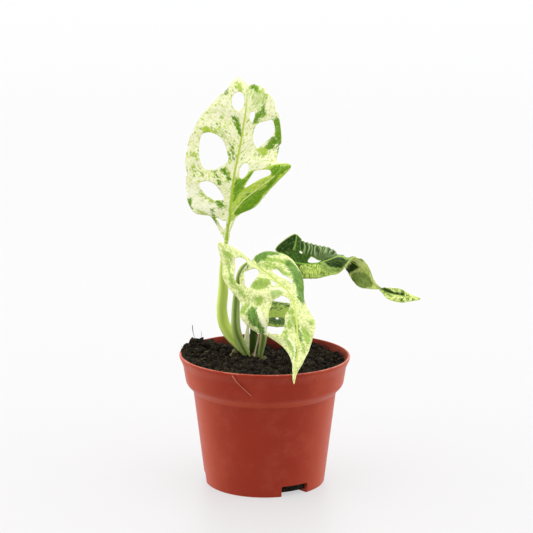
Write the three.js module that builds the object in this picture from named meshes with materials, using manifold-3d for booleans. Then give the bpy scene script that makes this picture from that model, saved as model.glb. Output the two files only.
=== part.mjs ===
// A young variegated monstera with four holed leaves, standing in a round nursery pot of soil.
// Millimetres, +Z up. The origin is on the pot's axis, on the surface that it stands on.
// +X is to the right as seen from the front, and +Y points away from the front.
import * as THREE from 'three';
import { mergeVertices } from 'three/addons/utils/BufferGeometryUtils.js';
import Module from 'manifold-3d';

const wasm = await Module();
wasm.setup();

// Driving sizes of the pot: a 12 cm nursery pot with a collar under its rolled lip.
const POT = {
  height: 91,
  lipRadius: 60,
  collarTopRadius: 57.2,
  collarFootRadius: 55.3,
  bodyTopRadius: 50.4,
  bodyFootRadius: 42.3,
  collarFoot: 71,
  bodyTop: 63.6,
  wall: 1.6,
  floor: 2.2,
  segments: 48,
};

// Three drain channels run inward under the floor, from notches in the foot of the wall.
const CHANNEL = { width: 28, height: 6, inner: 23, outer: 48, roof: 2, bearings: [-60, 60, 180], drain: 4 };

// The soil: its level at the axis, how that falls away to the right and to the back, and its heaps.
const SOIL = {
  level: 86.4,
  fallRight: 0.036,
  fallBack: 0.0725,
  bowBack: 0.0005,
  crumb: 1.1,
  rings: 11,
  sectors: 40,
  heaps: [
    { x: -45, y: 16, rise: 7.5, spread: 9 },
    { x: -52, y: 2, rise: 3.5, spread: 8 },
    { x: -11, y: 11, rise: 3, spread: 15 },
    { x: 22, y: -24, rise: 1.5, spread: 14 },
  ],
};

// Pieces that touch keep this gap, and each petiole stops this short of its blade.
const GAP = 0.3;
const JOINT_GAP = 0.35;

const BLADE_THICKNESS = 0.8;

// The creeping stem, half buried, that all the petioles grow from.
const STEM = {
  path: [[-27, 8, 83], [-22, 8, 85.5], [-14, 11, 84.5], [-6, 12, 84], [0, 9, 82.5], [5, 6, 79.5]],
  radii: [3.2, 4.6, 4.4, 5, 4.6, 3.2],
  steps: 12,
};

// Petioles from the soil up, without their last point, which is worked out at the blade.
const PETIOLES = {
  tall: {
    path: [
      [-11, 14.5, 80], [-13.5, 15, 88.5], [-17.5, 16.5, 93.5], [-24, 19.5, 100], [-29, 22.5, 108.5],
      [-30.5, 24, 119], [-29.5, 25, 132], [-29.5, 25, 148], [-28.5, 23.5, 160],
    ],
    radii: [3, 3.2, 3.7, 4.2, 4.2, 3.8, 3.6, 2.6, 2, 1.7],
    groove: 0.16,
    steps: 18,
  },
  front: {
    path: [
      [-11, 8.5, 80], [-13, 8, 89.5], [-16.5, 7.5, 97], [-20, 7, 107.5], [-20.5, 6.5, 118.5],
      [-20, 6, 129.5], [-19, 5.5, 138.5], [-18, 5.5, 146.5], [-16.2, 5.7, 152], [-13.2, 5.6, 155.6],
    ],
    radii: [2.4, 2.6, 3, 3.3, 3, 2.6, 2.2, 1.9, 1.6, 1.2, 0.9],
    groove: 0.34,
    steps: 18,
  },
  side: {
    path: [
      [-7.5, 18.5, 80], [-7.5, 19.5, 88], [-8, 21, 97], [-7.5, 22, 107], [-5.5, 23, 121], [-2, 24, 131.5],
      [1.5, 24, 141], [4.5, 23, 148.5], [9.5, 20.5, 153.5],
    ],
    radii: [2.6, 2.7, 2.7, 2.6, 2.2, 2, 1.8, 1.6, 1.5, 1.4],
    groove: 0.2,
    steps: 18,
  },
  small: {
    path: [[-3.5, 9.5, 80], [-3, 9, 88.5], [-2, 8, 95], [-1, 6.5, 102], [-1, 4.5, 108.5]],
    radii: [1.5, 1.7, 2.3, 2.5, 1.8, 1],
    groove: 0.3,
    steps: 10,
  },
};

// A station of a blade: its points on the midrib and on the left and right margins, then for each
// half how far it arches and how far its lateral veins sweep towards the tip.
const station = (rib, left, right, lift = [0, 0], sweep = [0, 0]) => ({ rib, left, right, lift, sweep });

// Each blade is lofted through its stations from base to tip. Openings are closed outlines of
// [along, across]: along the midrib from 0 to 1, across from -1, the left margin, to 1, the right one.
const BLADES = {
  tall: {
    rows: 26,
    columns: 8,
    ribRadius: 1.15,
    veins: 8,
    pucker: 0.5,
    ruffle: 0.5,
    ruffles: 5,
    stations: [
      station([-27, 20, 169], [-29, 20, 169.5], [-25, 20, 169.5]),
      station([-26, 20, 176], [-34, 20, 180.5], [-23.5, 19, 178.5], [0, 0], [-1, 0]),
      station([-24.5, 20, 185], [-39.5, 19, 187.5], [-18.5, 18, 187.5], [0, 0], [-3, 0]),
      station([-24, 20.5, 193.5], [-49.5, 18, 190], [-6, 15, 195], [1, 1], [-3, 1]),
      station([-23, 21, 202], [-55, 18, 201], [6.5, 13, 210], [1.5, 2], [-1, 2]),
      station([-22, 22, 211], [-55, 19, 212], [18.5, 12, 224], [2, 2], [2, 3]),
      station([-20.5, 23, 220], [-55.5, 20, 225], [8.5, 18, 227], [2, 2], [3, 2]),
      station([-18.5, 24, 229.5], [-54, 21, 236.5], [11.5, 22, 237], [2, 2], [3, 3]),
      station([-16.5, 25, 239.5], [-50, 23, 247.5], [11.5, 24, 246.5], [2, 2], [4, 4]),
      station([-15, 26, 249], [-43.5, 25, 258.5], [10, 26, 257], [2, 2], [5, 4]),
      station([-13.5, 27, 258], [-34.5, 27, 268], [6.5, 28, 267], [2, 2], [5, 4]),
      station([-12.5, 29, 266.5], [-25.5, 30, 277.5], [1, 30, 274.5], [1.5, 2], [4, 3]),
      station([-12.5, 31, 272.5], [-20, 34, 282.5], [-5.5, 33, 278.5], [1, 1], [3, 2]),
      station([-13.5, 33, 275.5], [-16.5, 36, 283], [-11, 35, 277]),
    ],
    openings: [
      [
        [0.6, -0.78], [0.61, -0.58], [0.59, -0.37], [0.55, -0.25], [0.49, -0.18], [0.44, -0.38],
        [0.435, -0.6], [0.475, -0.72], [0.55, -0.78],
      ],
      [
        [0.37, -0.72], [0.38, -0.53], [0.355, -0.34], [0.295, -0.17], [0.285, -0.28],
        [0.305, -0.5], [0.34, -0.65],
      ],
      [
        [0.82, -0.56], [0.855, -0.38], [0.855, -0.17], [0.815, -0.1], [0.765, -0.18],
        [0.755, -0.36], [0.785, -0.53],
      ],
      [
        [0.67, 0.37], [0.675, 0.62], [0.67, 0.8], [0.61, 0.82], [0.575, 0.67], [0.545, 0.45],
        [0.585, 0.31], [0.635, 0.29],
      ],
      [[0.48, 0.2], [0.46, 0.32], [0.415, 0.26], [0.385, 0.17], [0.4, 0.1], [0.455, 0.11]],
      [
        [0.405, 0.36], [0.402, 0.48], [0.39, 0.6], [0.36, 0.68], [0.35, 0.55], [0.335, 0.4],
        [0.325, 0.28], [0.35, 0.27],
      ],
      [[0.755, 0.16], [0.745, 0.31], [0.71, 0.29], [0.695, 0.22], [0.725, 0.16]],
      [
        [0.165, -0.53], [0.147, -0.36], [0.14, -0.17], [0.1, -0.19], [0.082, -0.34],
        [0.102, -0.57], [0.15, -0.62],
      ],
    ],
  },
  front: {
    rows: 28,
    columns: 8,
    ribRadius: 1.1,
    veins: 8,
    pucker: 0.7,
    ruffle: 0.6,
    ruffles: 5,
    stations: [
      station([-10, 5, 157], [-8.5, 6, 158.5], [-10.5, 6.5, 159]),
      station([-6, 2, 154.5], [-5.5, 9, 161.5], [-20, 14, 165], [1, 1]),
      station([-2, -1, 152.5], [1.5, 11, 164], [-32, 16, 169], [2, 2], [-2, -3]),
      station([2.5, -5, 150.5], [11, 9, 162.5], [-32, 13, 162.5], [3, 3], [0, -4]),
      station([6.5, -9, 148], [19, 6, 159], [-30, 8, 155], [3, 3], [0, -3]),
      station([11, -14, 145.5], [24, 0, 154], [-29, 2, 146.5], [4, 3], [1, -2]),
      station([15.5, -19, 142.5], [26.5, -7, 146.5], [-23.5, -4, 138.5], [4, 4], [1, -1]),
      station([19, -25, 138], [27.5, -15, 136.5], [-17, -10, 131.5], [4, 4], [1, 0]),
      station([21, -32, 132], [31.5, -24, 128.5], [-16.5, -16, 123], [3, 4], [1, 0]),
      station([22, -39, 124.5], [34.5, -31, 122.5], [-7.5, -22, 114.5], [3, 4], [1, 1]),
      station([22.5, -46, 116.5], [33.5, -39, 115], [2.5, -29, 112], [3, 3], [1, 1]),
      station([22.5, -54, 109], [30, -49, 107.5], [13, -42, 108.5], [2, 2]),
      station([21, -60.5, 101], [25.5, -58, 101], [18, -54, 102], [1, 1]),
      station([20.5, -64.5, 94.5], [22, -63, 95.5], [18.5, -62, 94.5]),
      station([20, -67, 89], [20, -66.5, 89.5], [19.5, -66.5, 89.5]),
    ],
    openings: [
      [
        [0.225, 0.64], [0.16, 0.4], [0.18, 0.34], [0.25, 0.44], [0.3, 0.58], [0.34, 0.66],
        [0.395, 0.76], [0.38, 0.8], [0.33, 0.76], [0.28, 0.72],
      ],
      [
        [0.29, 0.48], [0.235, 0.24], [0.28, 0.26], [0.35, 0.4], [0.395, 0.56], [0.42, 0.66],
        [0.4, 0.68], [0.355, 0.6], [0.31, 0.56],
      ],
      [
        [0.235, -0.2], [0.255, -0.32], [0.325, -0.34], [0.41, -0.44], [0.395, -0.32],
        [0.31, -0.2], [0.255, -0.16],
      ],
      [
        [0.335, 0.12], [0.32, 0.08], [0.37, 0.08], [0.385, 0.18],
      ],
      [
        [0.51, 0.38], [0.49, 0.24], [0.48, 0.14], [0.51, 0.06], [0.56, 0.1], [0.6, 0.2],
        [0.645, 0.28], [0.69, 0.46], [0.695, 0.66], [0.68, 0.76], [0.65, 0.72], [0.61, 0.54],
        [0.55, 0.44],
      ],
    ],
  },
  side: {
    rows: 36,
    columns: 6,
    ribRadius: 0.9,
    veins: 9,
    pucker: 1,
    ruffle: 0.4,
    ruffles: 6,
    stations: [
      station([16, 18, 155], [15.4, 19.4, 157], [16.6, 16.5, 153.4]),
      station([18.5, 17.5, 154.5], [7.5, 24, 162.5], [18, 11, 149.5], [0, 0], [-2, -2]),
      station([23, 17, 153.5], [21, 32, 171.5], [24, 5, 145.5], [-2, 2], [-3, -1]),
      station([28.5, 16, 153], [27.5, 36, 165], [31, 2, 146], [2, 3]),
      station([35.5, 14, 153.5], [36.5, 36, 163], [38.5, 0, 147], [3, 3]),
      station([42.5, 12, 156], [45, 34, 161], [45.5, -1, 149], [3, 3]),
      station([49.5, 10, 159], [52, 29, 157], [52, -3, 151.5], [3, 3]),
      station([55.5, 9, 160], [57, 22, 149.5], [57, -4, 157], [4, 3]),
      station([61, 9, 157], [61, 15, 142.5], [62, -2, 162], [3, 2]),
      station([67.5, 9, 152], [67, 9, 138], [68.5, 0, 160], [2, 2]),
      station([73, 8, 145.5], [73, 5, 138], [74, 2, 150.5], [1, 1]),
      station([79, 5, 139.5], [78, 5, 137.5], [78.5, 3, 141.5]),
      station([86.5, 1, 135.5], [86, 5, 139], [85.5, -4, 133], [1, 1]),
      station([94.5, -4, 135], [95.5, 1, 138.5], [94, -10, 132], [1, 1]),
      station([102, -8, 135], [102.5, -6, 136.5], [101.5, -12, 133]),
      station([108, -12, 135], [108, -11.5, 135.5], [108, -12.5, 134.5]),
    ],
    openings: [
      [
        [0.22, -0.12], [0.24, -0.26], [0.255, -0.29], [0.28, -0.19], [0.305, -0.1],
        [0.28, -0.07], [0.245, -0.06], [0.23, -0.07],
      ],
      [[0.17, -0.46], [0.18, -0.52], [0.19, -0.48], [0.185, -0.42], [0.18, -0.41]],
    ],
  },
  small: {
    rows: 12,
    columns: 6,
    ribRadius: 0.7,
    veins: 5,
    pucker: 0.4,
    ruffle: 0.4,
    ruffles: 3,
    stations: [
      station([-2, 2, 114.5], [-2.5, 2.8, 115.3], [-1.5, 1.2, 114]),
      station([0, 2, 117.5], [-5.5, 8, 124], [-2, -4, 113.5], [0, 0], [-1, -1]),
      station([4.5, 1, 119.5], [1, 12, 126.5], [3, -7, 114], [1, 1]),
      station([9.5, 0, 120], [8.5, 13, 127], [9.5, -9, 114], [1, 1]),
      station([14.5, -1, 120], [16.5, 11, 126], [15, -9, 114.5], [1, 1]),
      station([18.5, -2, 119.5], [22, 7, 123.5], [20, -8, 116.5], [1, 1]),
      station([24, -4, 119], [24.5, -3.5, 119.3], [24, -4.5, 118.5]),
    ],
    openings: [[[0.45, 0.2], [0.5, 0.19], [0.51, 0.34], [0.46, 0.35]]],
  },
};

// The pale papery sheath that still clasps the foot of the side leaf's petiole.
const SHEATH = {
  rows: 7,
  columns: 4,
  ribRadius: 0,
  veins: 0,
  pucker: 0,
  ruffle: 0,
  ruffles: 0,
  stations: [
    station([-13.2, 14.6, 87], [-13.5, 18, 87], [-9.5, 13.4, 87], [0.6, 0.6]),
    station([-14.2, 15.4, 98], [-14, 20.5, 97.5], [-8.8, 14.2, 97.5], [1, 1]),
    station([-13, 17.2, 105], [-13, 20.6, 104.5], [-9.8, 16.4, 104.5], [0.6, 0.6]),
    station([-11.6, 19.4, 111.5], [-11.8, 20.2, 111.3], [-11, 19, 111.3]),
  ],
  openings: [],
};

// The dry strand beside the small leaf, and a straw fibre hanging from the soil over the pot's lip.
const DRY_STRAND = {
  path: [[-7.6, 4.5, 84], [-7, 5, 91.5], [-5.5, 4.5, 97.5], [-4.6, 3.2, 102.5], [-4, 2.2, 106.5]],
  radii: [0.8, 0.8, 0.9, 0.8, 0.5],
  sides: 6,
};
const STRAW = {
  path: [
    [-24, -49.5, 88.5], [-22.8, -53.6, 92.4], [-21.6, -57.4, 92.4], [-20.6, -58.6, 88],
    [-18, -56.8, 82.5], [-12.5, -56.2, 76.5],
  ],
  radii: [0.4, 0.5, 0.5, 0.45, 0.4, 0.35],
  sides: 6,
};

const vector = ([x, y, z]) => new THREE.Vector3(x, y, z);
const smoothCurve = (points) => new THREE.CatmullRomCurve3(points.map(vector), false, 'catmullrom', 0.5);
const radians = THREE.MathUtils.degToRad;

// A closed geometry as a solid: equal corners are merged and faces that collapse are dropped.
function solidOf(geometry) {
  const loose = geometry.index ? geometry.toNonIndexed() : geometry;
  const bare = new THREE.BufferGeometry().setAttribute('position', loose.getAttribute('position'));
  const merged = mergeVertices(bare, 1e-3);
  const corners = merged.index.array;
  const faces = [];
  for (let i = 0; i < corners.length; i += 3) {
    const [a, b, c] = [corners[i], corners[i + 1], corners[i + 2]];
    if (a !== b && b !== c && c !== a) faces.push(a, b, c);
  }
  const vertProperties = merged.getAttribute('position').array;
  return new wasm.Manifold(new wasm.Mesh({ numProp: 3, vertProperties, triVerts: new Uint32Array(faces) }));
}

// A solid back as a geometry that a mesh can show.
function geometryOf(solid) {
  const { vertProperties, triVerts, numProp, numVert } = solid.getMesh();
  const places = new Float32Array(numVert * 3);
  for (let i = 0; i < numVert; i++) {
    places.set(vertProperties.subarray(i * numProp, i * numProp + 3), i * 3);
  }
  const geometry = new THREE.BufferGeometry();
  geometry.setAttribute('position', new THREE.BufferAttribute(places, 3));
  geometry.setIndex(new THREE.BufferAttribute(triVerts, 1));
  return geometry;
}

// The largest body of a solid that cutting has left in pieces; the loose scraps are dropped.
function mainBody(solid) {
  return solid.decompose().reduce((most, body) => (body.volume() > most.volume() ? body : most));
}

function closedGeometry(points, faces) {
  const geometry = new THREE.BufferGeometry().setFromPoints(points);
  geometry.setIndex(faces);
  return geometry;
}

// The two triangles of a four-sided cell, its corners in order round an outward face.
const cell = (a, b, c, d) => [a, b, c, a, c, d];

// A profile of [radius, height] turned about the Z axis.
function turned(profile, segments) {
  const geometry = new THREE.LatheGeometry(profile.map(([r, z]) => new THREE.Vector2(r, z)), segments);
  return solidOf(geometry.rotateX(Math.PI / 2));
}

// A round stalk that tapers by its radii, with a groove down its front, closed flat at both ends.
function stalk({ path, radii, groove = 0, steps = 10, sides = 8 }, extra = 0) {
  const curve = smoothCurve(path);
  const widths = smoothCurve(radii.map((r) => [r, 0, 0]));
  const points = [];
  const faces = [];
  for (let i = 0; i <= steps; i++) {
    const centre = curve.getPoint(i / steps);
    const tangent = curve.getTangent(i / steps);
    const across = new THREE.Vector3(0, 1, 0).cross(tangent).normalize();
    const outward = new THREE.Vector3().crossVectors(tangent, across);
    const radius = widths.getPoint(i / steps).x + extra;
    for (let j = 0; j < sides; j++) {
      const angle = (2 * Math.PI * j) / sides;
      const inset = 1 - groove * Math.max(0, -Math.sin(angle)) ** 6;
      const side = across.clone().multiplyScalar(Math.cos(angle) * radius * inset);
      points.push(side.addScaledVector(outward, Math.sin(angle) * radius * inset).add(centre));
    }
  }
  const at = (i, j) => i * sides + (j % sides);
  for (let i = 0; i < steps; i++) {
    for (let j = 0; j < sides; j++) {
      faces.push(...cell(at(i, j), at(i, j + 1), at(i + 1, j + 1), at(i + 1, j)));
    }
  }
  for (let j = 1; j < sides - 1; j++) {
    faces.push(at(0, 0), at(0, j + 1), at(0, j));
    faces.push(at(steps, 0), at(steps, j), at(steps, j + 1));
  }
  return solidOf(closedGeometry(points, faces));
}

// A leaf blade, as a smooth surface with a thickness, its openings and its raised midrib.
class Blade {
  constructor(plan) {
    this.plan = plan;
    const ribs = plan.stations.map((station) => vector(station.rib));
    const arches = plan.stations.map((station, i) => this.archPoints(station, ribs, i));
    this.rails = {
      left: smoothCurve(plan.stations.map((station) => station.left)),
      right: smoothCurve(plan.stations.map((station) => station.right)),
      rib: smoothCurve(plan.stations.map((station) => station.rib)),
      leftArch: smoothCurve(arches.map((pair) => pair[0].toArray())),
      rightArch: smoothCurve(arches.map((pair) => pair[1].toArray())),
    };
  }

  // The control points that arch and sweep the two halves at a station.
  archPoints(station, ribs, i) {
    const before = ribs[Math.max(i - 1, 0)];
    const after = ribs[Math.min(i + 1, ribs.length - 1)];
    const forward = new THREE.Vector3().subVectors(after, before).normalize();
    const across = vector(station.right).sub(vector(station.left)).normalize();
    const up = new THREE.Vector3().crossVectors(across, forward).normalize();
    return [station.left, station.right].map((edge, half) => {
      const middle = vector(edge).add(ribs[i]).multiplyScalar(0.5);
      return middle.addScaledVector(up, station.lift[half]).addScaledVector(forward, station.sweep[half]);
    });
  }

  // The smooth surface, by a quadratic arch from the midrib to either margin.
  smoothPoint(along, across) {
    const reach = Math.abs(across);
    const arch = (across < 0 ? this.rails.leftArch : this.rails.rightArch).getPoint(along);
    const edge = (across < 0 ? this.rails.left : this.rails.right).getPoint(along);
    const point = this.rails.rib.getPoint(along).multiplyScalar((1 - reach) ** 2);
    return point.addScaledVector(arch, 2 * reach * (1 - reach)).addScaledVector(edge, reach ** 2);
  }

  normal(along, across) {
    const [step, stride] = [0.004, 0.04];
    const [a0, a1] = [Math.max(along - step, 0), Math.min(along + step, 1)];
    const [c0, c1] = [Math.max(across - stride, -1), Math.min(across + stride, 1)];
    const forward = this.smoothPoint(a1, across).sub(this.smoothPoint(a0, across));
    const sideways = this.smoothPoint(along, c1).sub(this.smoothPoint(along, c0));
    return sideways.cross(forward).normalize();
  }

  // How far the surface swells between its lateral veins and ruffles at its margins.
  relief(along, across) {
    const { veins, pucker, ruffle, ruffles } = this.plan;
    const [veinPhase, rufflePhase] = across < 0 ? [0, 0.5] : [1.5, 2.2];
    const reach = Math.abs(across);
    const turn = 2 * Math.PI * along;
    const swell = pucker * Math.cos(veins * turn + veinPhase) * 4 * reach * (1 - reach);
    const wave = ruffle * Math.sin(ruffles * turn + rufflePhase) * reach ** 3;
    return Math.sin(Math.PI * along) ** 0.5 * (swell + wave);
  }

  point(along, across, offset) {
    const raised = this.relief(along, across) + offset;
    return this.smoothPoint(along, across).addScaledVector(this.normal(along, across), raised);
  }

  // The sheet: a grid of cells, split alike on its upper and lower faces, and closed round its margin.
  sheet(thickness = BLADE_THICKNESS) {
    const { rows, columns } = this.plan;
    const points = [];
    const faces = [];
    const layer = (rows + 1) * (columns + 1);
    for (const offset of [thickness / 2, -thickness / 2]) {
      for (let i = 0; i <= rows; i++) {
        for (let j = 0; j <= columns; j++) points.push(this.point(i / rows, (2 * j) / columns - 1, offset));
      }
    }
    const upper = (i, j) => i * (columns + 1) + j;
    const lower = (i, j) => layer + upper(i, j);
    for (let i = 0; i < rows; i++) {
      for (let j = 0; j < columns; j++) {
        faces.push(...cell(upper(i, j), upper(i, j + 1), upper(i + 1, j + 1), upper(i + 1, j)));
        const below = cell(lower(i, j), lower(i, j + 1), lower(i + 1, j + 1), lower(i + 1, j));
        faces.push(...below.reverse());
      }
      const [near, far] = [upper(i, columns), upper(i + 1, columns)];
      faces.push(...cell(upper(i, 0), upper(i + 1, 0), lower(i + 1, 0), lower(i, 0)));
      faces.push(...cell(far, near, near + layer, far + layer));
    }
    for (let j = 0; j < columns; j++) {
      faces.push(...cell(upper(0, j + 1), upper(0, j), lower(0, j), lower(0, j + 1)));
      faces.push(...cell(upper(rows, j), upper(rows, j + 1), lower(rows, j + 1), lower(rows, j)));
    }
    return solidOf(closedGeometry(points, faces));
  }

  // A plug through the blade in the shape of one opening.
  punch(opening) {
    const reach = 2.4;
    const outline = new THREE.CatmullRomCurve3(
      opening.map(([along, across]) => new THREE.Vector3(along, across, 0)), true, 'catmullrom', 0.5,
    );
    const flat = outline.getPoints(opening.length * 2).slice(0, -1).map((p) => new THREE.Vector2(p.x, p.y));
    if (THREE.ShapeUtils.isClockWise(flat)) flat.reverse();
    const count = flat.length;
    const points = [reach, -reach].flatMap((offset) => flat.map((p) => this.point(p.x, p.y, offset)));
    const faces = [];
    for (const [a, b, c] of THREE.ShapeUtils.triangulateShape(flat, [])) {
      faces.push(a, c, b, a + count, b + count, c + count);
    }
    for (let i = 0; i < count; i++) {
      const next = (i + 1) % count;
      faces.push(...cell(i, next, next + count, i + count));
    }
    return solidOf(closedGeometry(points, faces));
  }

  // The midrib, which stands out on the underside and thins towards the tip.
  midrib() {
    const { rows, ribRadius } = this.plan;
    const steps = Math.round(rows / 2);
    const path = [];
    const radii = [];
    for (let i = 0; i <= steps; i++) {
      const along = (0.96 * i) / steps;
      path.push(this.point(along, 0, -0.35 * ribRadius).toArray());
      radii.push(ribRadius * (1 - 0.66 * along));
    }
    return stalk({ path, radii, steps, sides: 6 });
  }

  // The space about the blade's base that its petiole is cut clear of: a wedge for each half, and
  // the foot of the midrib.
  baseRooms() {
    const reach = BLADE_THICKNESS / 2 + GAP;
    const wedges = [-1, 1].map((side) => {
      const normal = this.normal(0.04, side / 2);
      const corners = [];
      for (const along of [0, 0.03, 0.07]) {
        for (const across of [0, side]) {
          const middle = this.smoothPoint(along, across);
          corners.push(middle.clone().addScaledVector(normal, reach).toArray());
          corners.push(middle.addScaledVector(normal, -reach).toArray());
        }
      }
      return wasm.Manifold.hull(corners);
    });
    const [foot, further] = [0, 0.05].map((along) => this.point(along, 0, -0.35 * this.plan.ribRadius));
    const start = foot.clone().addScaledVector(further.clone().sub(foot).normalize(), -GAP);
    const width = this.plan.ribRadius + GAP;
    const path = [start.toArray(), further.toArray()];
    return [...wedges, stalk({ path, radii: [width, width], steps: 1 })];
  }

  solid() {
    let whole = this.sheet();
    for (const opening of this.plan.openings) whole = whole.subtract(this.punch(opening));
    return this.plan.ribRadius > 0 ? whole.add(this.midrib()) : whole;
  }
}

// Outer and inner outlines of the pot's wall, from the foot up.
const POT_OUTER = [
  [POT.bodyFootRadius - 0.7, 0],
  [POT.bodyFootRadius, 0.7],
  [POT.bodyTopRadius, POT.bodyTop],
  [POT.bodyTopRadius + 0.6, POT.bodyTop + 1.2],
  [POT.collarFootRadius - 1.3, POT.collarFoot - 3.4],
  [POT.collarFootRadius - 0.3, POT.collarFoot - 1.7],
  [POT.collarFootRadius, POT.collarFoot],
  [POT.collarTopRadius, POT.height - 6.2],
  [POT.lipRadius - 1.4, POT.height - 5.4],
  [POT.lipRadius - 0.3, POT.height - 3.8],
  [POT.lipRadius, POT.height - 2.3],
  [POT.lipRadius - 0.4, POT.height - 0.8],
  [POT.lipRadius - 1.3, POT.height],
];
const POT_INNER = [
  [POT.bodyFootRadius - POT.wall - 0.7, POT.floor],
  [POT.bodyTopRadius - POT.wall, POT.bodyTop + 0.4],
  [POT.collarFootRadius - POT.wall - 0.4, POT.collarFoot - 0.6],
  [POT.collarTopRadius - POT.wall, POT.height - 6.2],
  [POT.lipRadius - 2.9, POT.height - 1.4],
  [POT.lipRadius - 2.3, POT.height - 0.2],
];

// A block over one drain channel: a sector of a ring about the pot's axis, standing on a level.
function channelBlock(bearing, extra, bottom, top, inner, outer) {
  const half = radians(CHANNEL.width / 2) + extra / 42;
  const middle = radians(bearing);
  const shape = new THREE.Shape();
  shape.absarc(0, 0, outer, middle - half, middle + half, false);
  shape.absarc(0, 0, inner, middle + half, middle - half, true);
  shape.closePath();
  const settings = { depth: top - bottom, bevelEnabled: false, curveSegments: 3 };
  return solidOf(new THREE.ExtrudeGeometry(shape, settings).translate(0, 0, bottom));
}

function drainHole(bearing) {
  const hole = new THREE.CylinderGeometry(CHANNEL.drain, CHANNEL.drain, 10, 12).rotateX(Math.PI / 2);
  hole.translate((CHANNEL.inner + POT.bodyFootRadius) / 2, 0, CHANNEL.height + 1);
  return solidOf(hole.rotateZ(radians(bearing)));
}

function makePot() {
  const above = POT.height + 1;
  const outside = turned([[0, 0], ...POT_OUTER, [0, POT.height]], POT.segments);
  const hollow = [[0, POT.floor], ...POT_INNER, [POT.lipRadius - 2.2, above], [0, above]];
  let pot = outside.subtract(turned(hollow, POT.segments));
  for (const bearing of CHANNEL.bearings) {
    const top = CHANNEL.height + CHANNEL.roof;
    const inner = CHANNEL.inner - CHANNEL.roof;
    const block = channelBlock(bearing, CHANNEL.roof, POT.floor / 2, top, inner, CHANNEL.outer);
    pot = pot.add(block.intersect(outside));
    pot = pot.subtract(channelBlock(bearing, 0, -1, CHANNEL.height, CHANNEL.inner, CHANNEL.outer + 10));
    pot = pot.subtract(drainHole(bearing));
  }
  return pot;
}

// Even scatter between -1 and 1, the same on every run.
function seededScatter(seed) {
  let state = seed;
  return () => {
    state = (Math.imul(state, 1664525) + 1013904223) >>> 0;
    return state / 2147483648 - 1;
  };
}

function soilHeight(x, y) {
  let height = SOIL.level - SOIL.fallRight * x - SOIL.fallBack * y - SOIL.bowBack * y * y;
  for (const heap of SOIL.heaps) {
    const apart = (x - heap.x) ** 2 + (y - heap.y) ** 2;
    height += heap.rise * Math.exp(-apart / (2 * heap.spread ** 2));
  }
  return height;
}

// The inner radius of the pot's wall at a height, read off its outline.
function wallRadius(height) {
  for (let i = 1; i < POT_INNER.length; i++) {
    const [r0, z0] = POT_INNER[i - 1];
    const [r1, z1] = POT_INNER[i];
    if (height <= z1) return r0 + ((r1 - r0) * (height - z0)) / (z1 - z0);
  }
  return POT_INNER[POT_INNER.length - 1][0];
}

// The soil fills the pot: a crumbly top, and sides that follow the wall a gap away from it.
function makeSoil() {
  const { rings, sectors, crumb } = SOIL;
  const scatter = seededScatter(11);
  const rimLimit = POT.height - 1.6;
  const levels = [POT.height - 6.2, POT.collarFoot - 0.6, POT.bodyTop + 0.4, POT.floor + GAP];
  const points = [new THREE.Vector3(0, 0, soilHeight(0, 0))];
  const faces = [];
  for (let ring = 1; ring <= rings; ring++) {
    for (let sector = 0; sector < sectors; sector++) {
      const angle = (2 * Math.PI * (sector + 0.5 * (ring % 2))) / sectors;
      const rim = soilHeight(57 * Math.cos(angle), 57 * Math.sin(angle));
      const radius = ((wallRadius(Math.min(rim, rimLimit)) - GAP) * ring) / rings;
      const [x, y] = [radius * Math.cos(angle), radius * Math.sin(angle)];
      const rough = ring < rings ? crumb * scatter() : 0;
      const height = ring < rings ? soilHeight(x, y) + rough : Math.min(soilHeight(x, y), rimLimit);
      points.push(new THREE.Vector3(x, y, height));
    }
  }
  for (const level of levels) {
    for (let sector = 0; sector < sectors; sector++) {
      const angle = (2 * Math.PI * (sector + 0.5 * (rings % 2))) / sectors;
      const height = Math.min(level, points[points.length - sectors].z - 1);
      const radius = wallRadius(height) - GAP;
      points.push(new THREE.Vector3(radius * Math.cos(angle), radius * Math.sin(angle), height));
    }
  }
  points.push(new THREE.Vector3(0, 0, POT.floor + GAP));
  const at = (ring, sector) => 1 + (ring - 1) * sectors + ((sector + sectors) % sectors);
  for (let sector = 0; sector < sectors; sector++) {
    faces.push(0, at(1, sector), at(1, sector + 1));
    for (let ring = 1; ring < rings; ring++) {
      const shift = ring % 2;
      const [a, b] = [at(ring, sector), at(ring, sector + 1)];
      const [c, d] = [at(ring + 1, sector + shift), at(ring + 1, sector + shift + 1)];
      if (shift) faces.push(a, c, b, c, d, b);
      else faces.push(a, c, d, a, d, b);
    }
    for (let ring = rings; ring < rings + levels.length; ring++) {
      const [a, b] = [at(ring, sector), at(ring, sector + 1)];
      faces.push(...cell(a, at(ring + 1, sector), at(ring + 1, sector + 1), b));
    }
    const last = rings + levels.length;
    faces.push(points.length - 1, at(last, sector + 1), at(last, sector));
  }
  return solidOf(closedGeometry(points, faces));
}

// The petiole of a blade, its last point put a gap short of the blade's base, in line with it.
function petiolePlan(name) {
  const petiole = PETIOLES[name];
  const [base, next] = BLADES[name].stations.map((station) => vector(station.rib));
  const end = base.clone().addScaledVector(next.sub(base).normalize(), -JOINT_GAP);
  return { ...petiole, path: [...petiole.path, end.toArray()] };
}

const FINISHES = {
  terracotta: { color: 0x9c3a2a, roughness: 0.42, metalness: 0 },
  soil: { color: 0x2a2420, roughness: 0.97, metalness: 0 },
  stem: { color: 0x5c5a34, roughness: 0.75, metalness: 0 },
  petiole: { color: 0x7fa43c, roughness: 0.45, metalness: 0 },
  creamLeaf: { color: 0xdfe3a4, roughness: 0.42, metalness: 0 },
  greenLeaf: { color: 0x3f6a24, roughness: 0.38, metalness: 0 },
  drySheath: { color: 0xd9d3ae, roughness: 0.8, metalness: 0 },
  straw: { color: 0xc9a98a, roughness: 0.85, metalness: 0 },
};

const plant = new THREE.Group();

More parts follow.
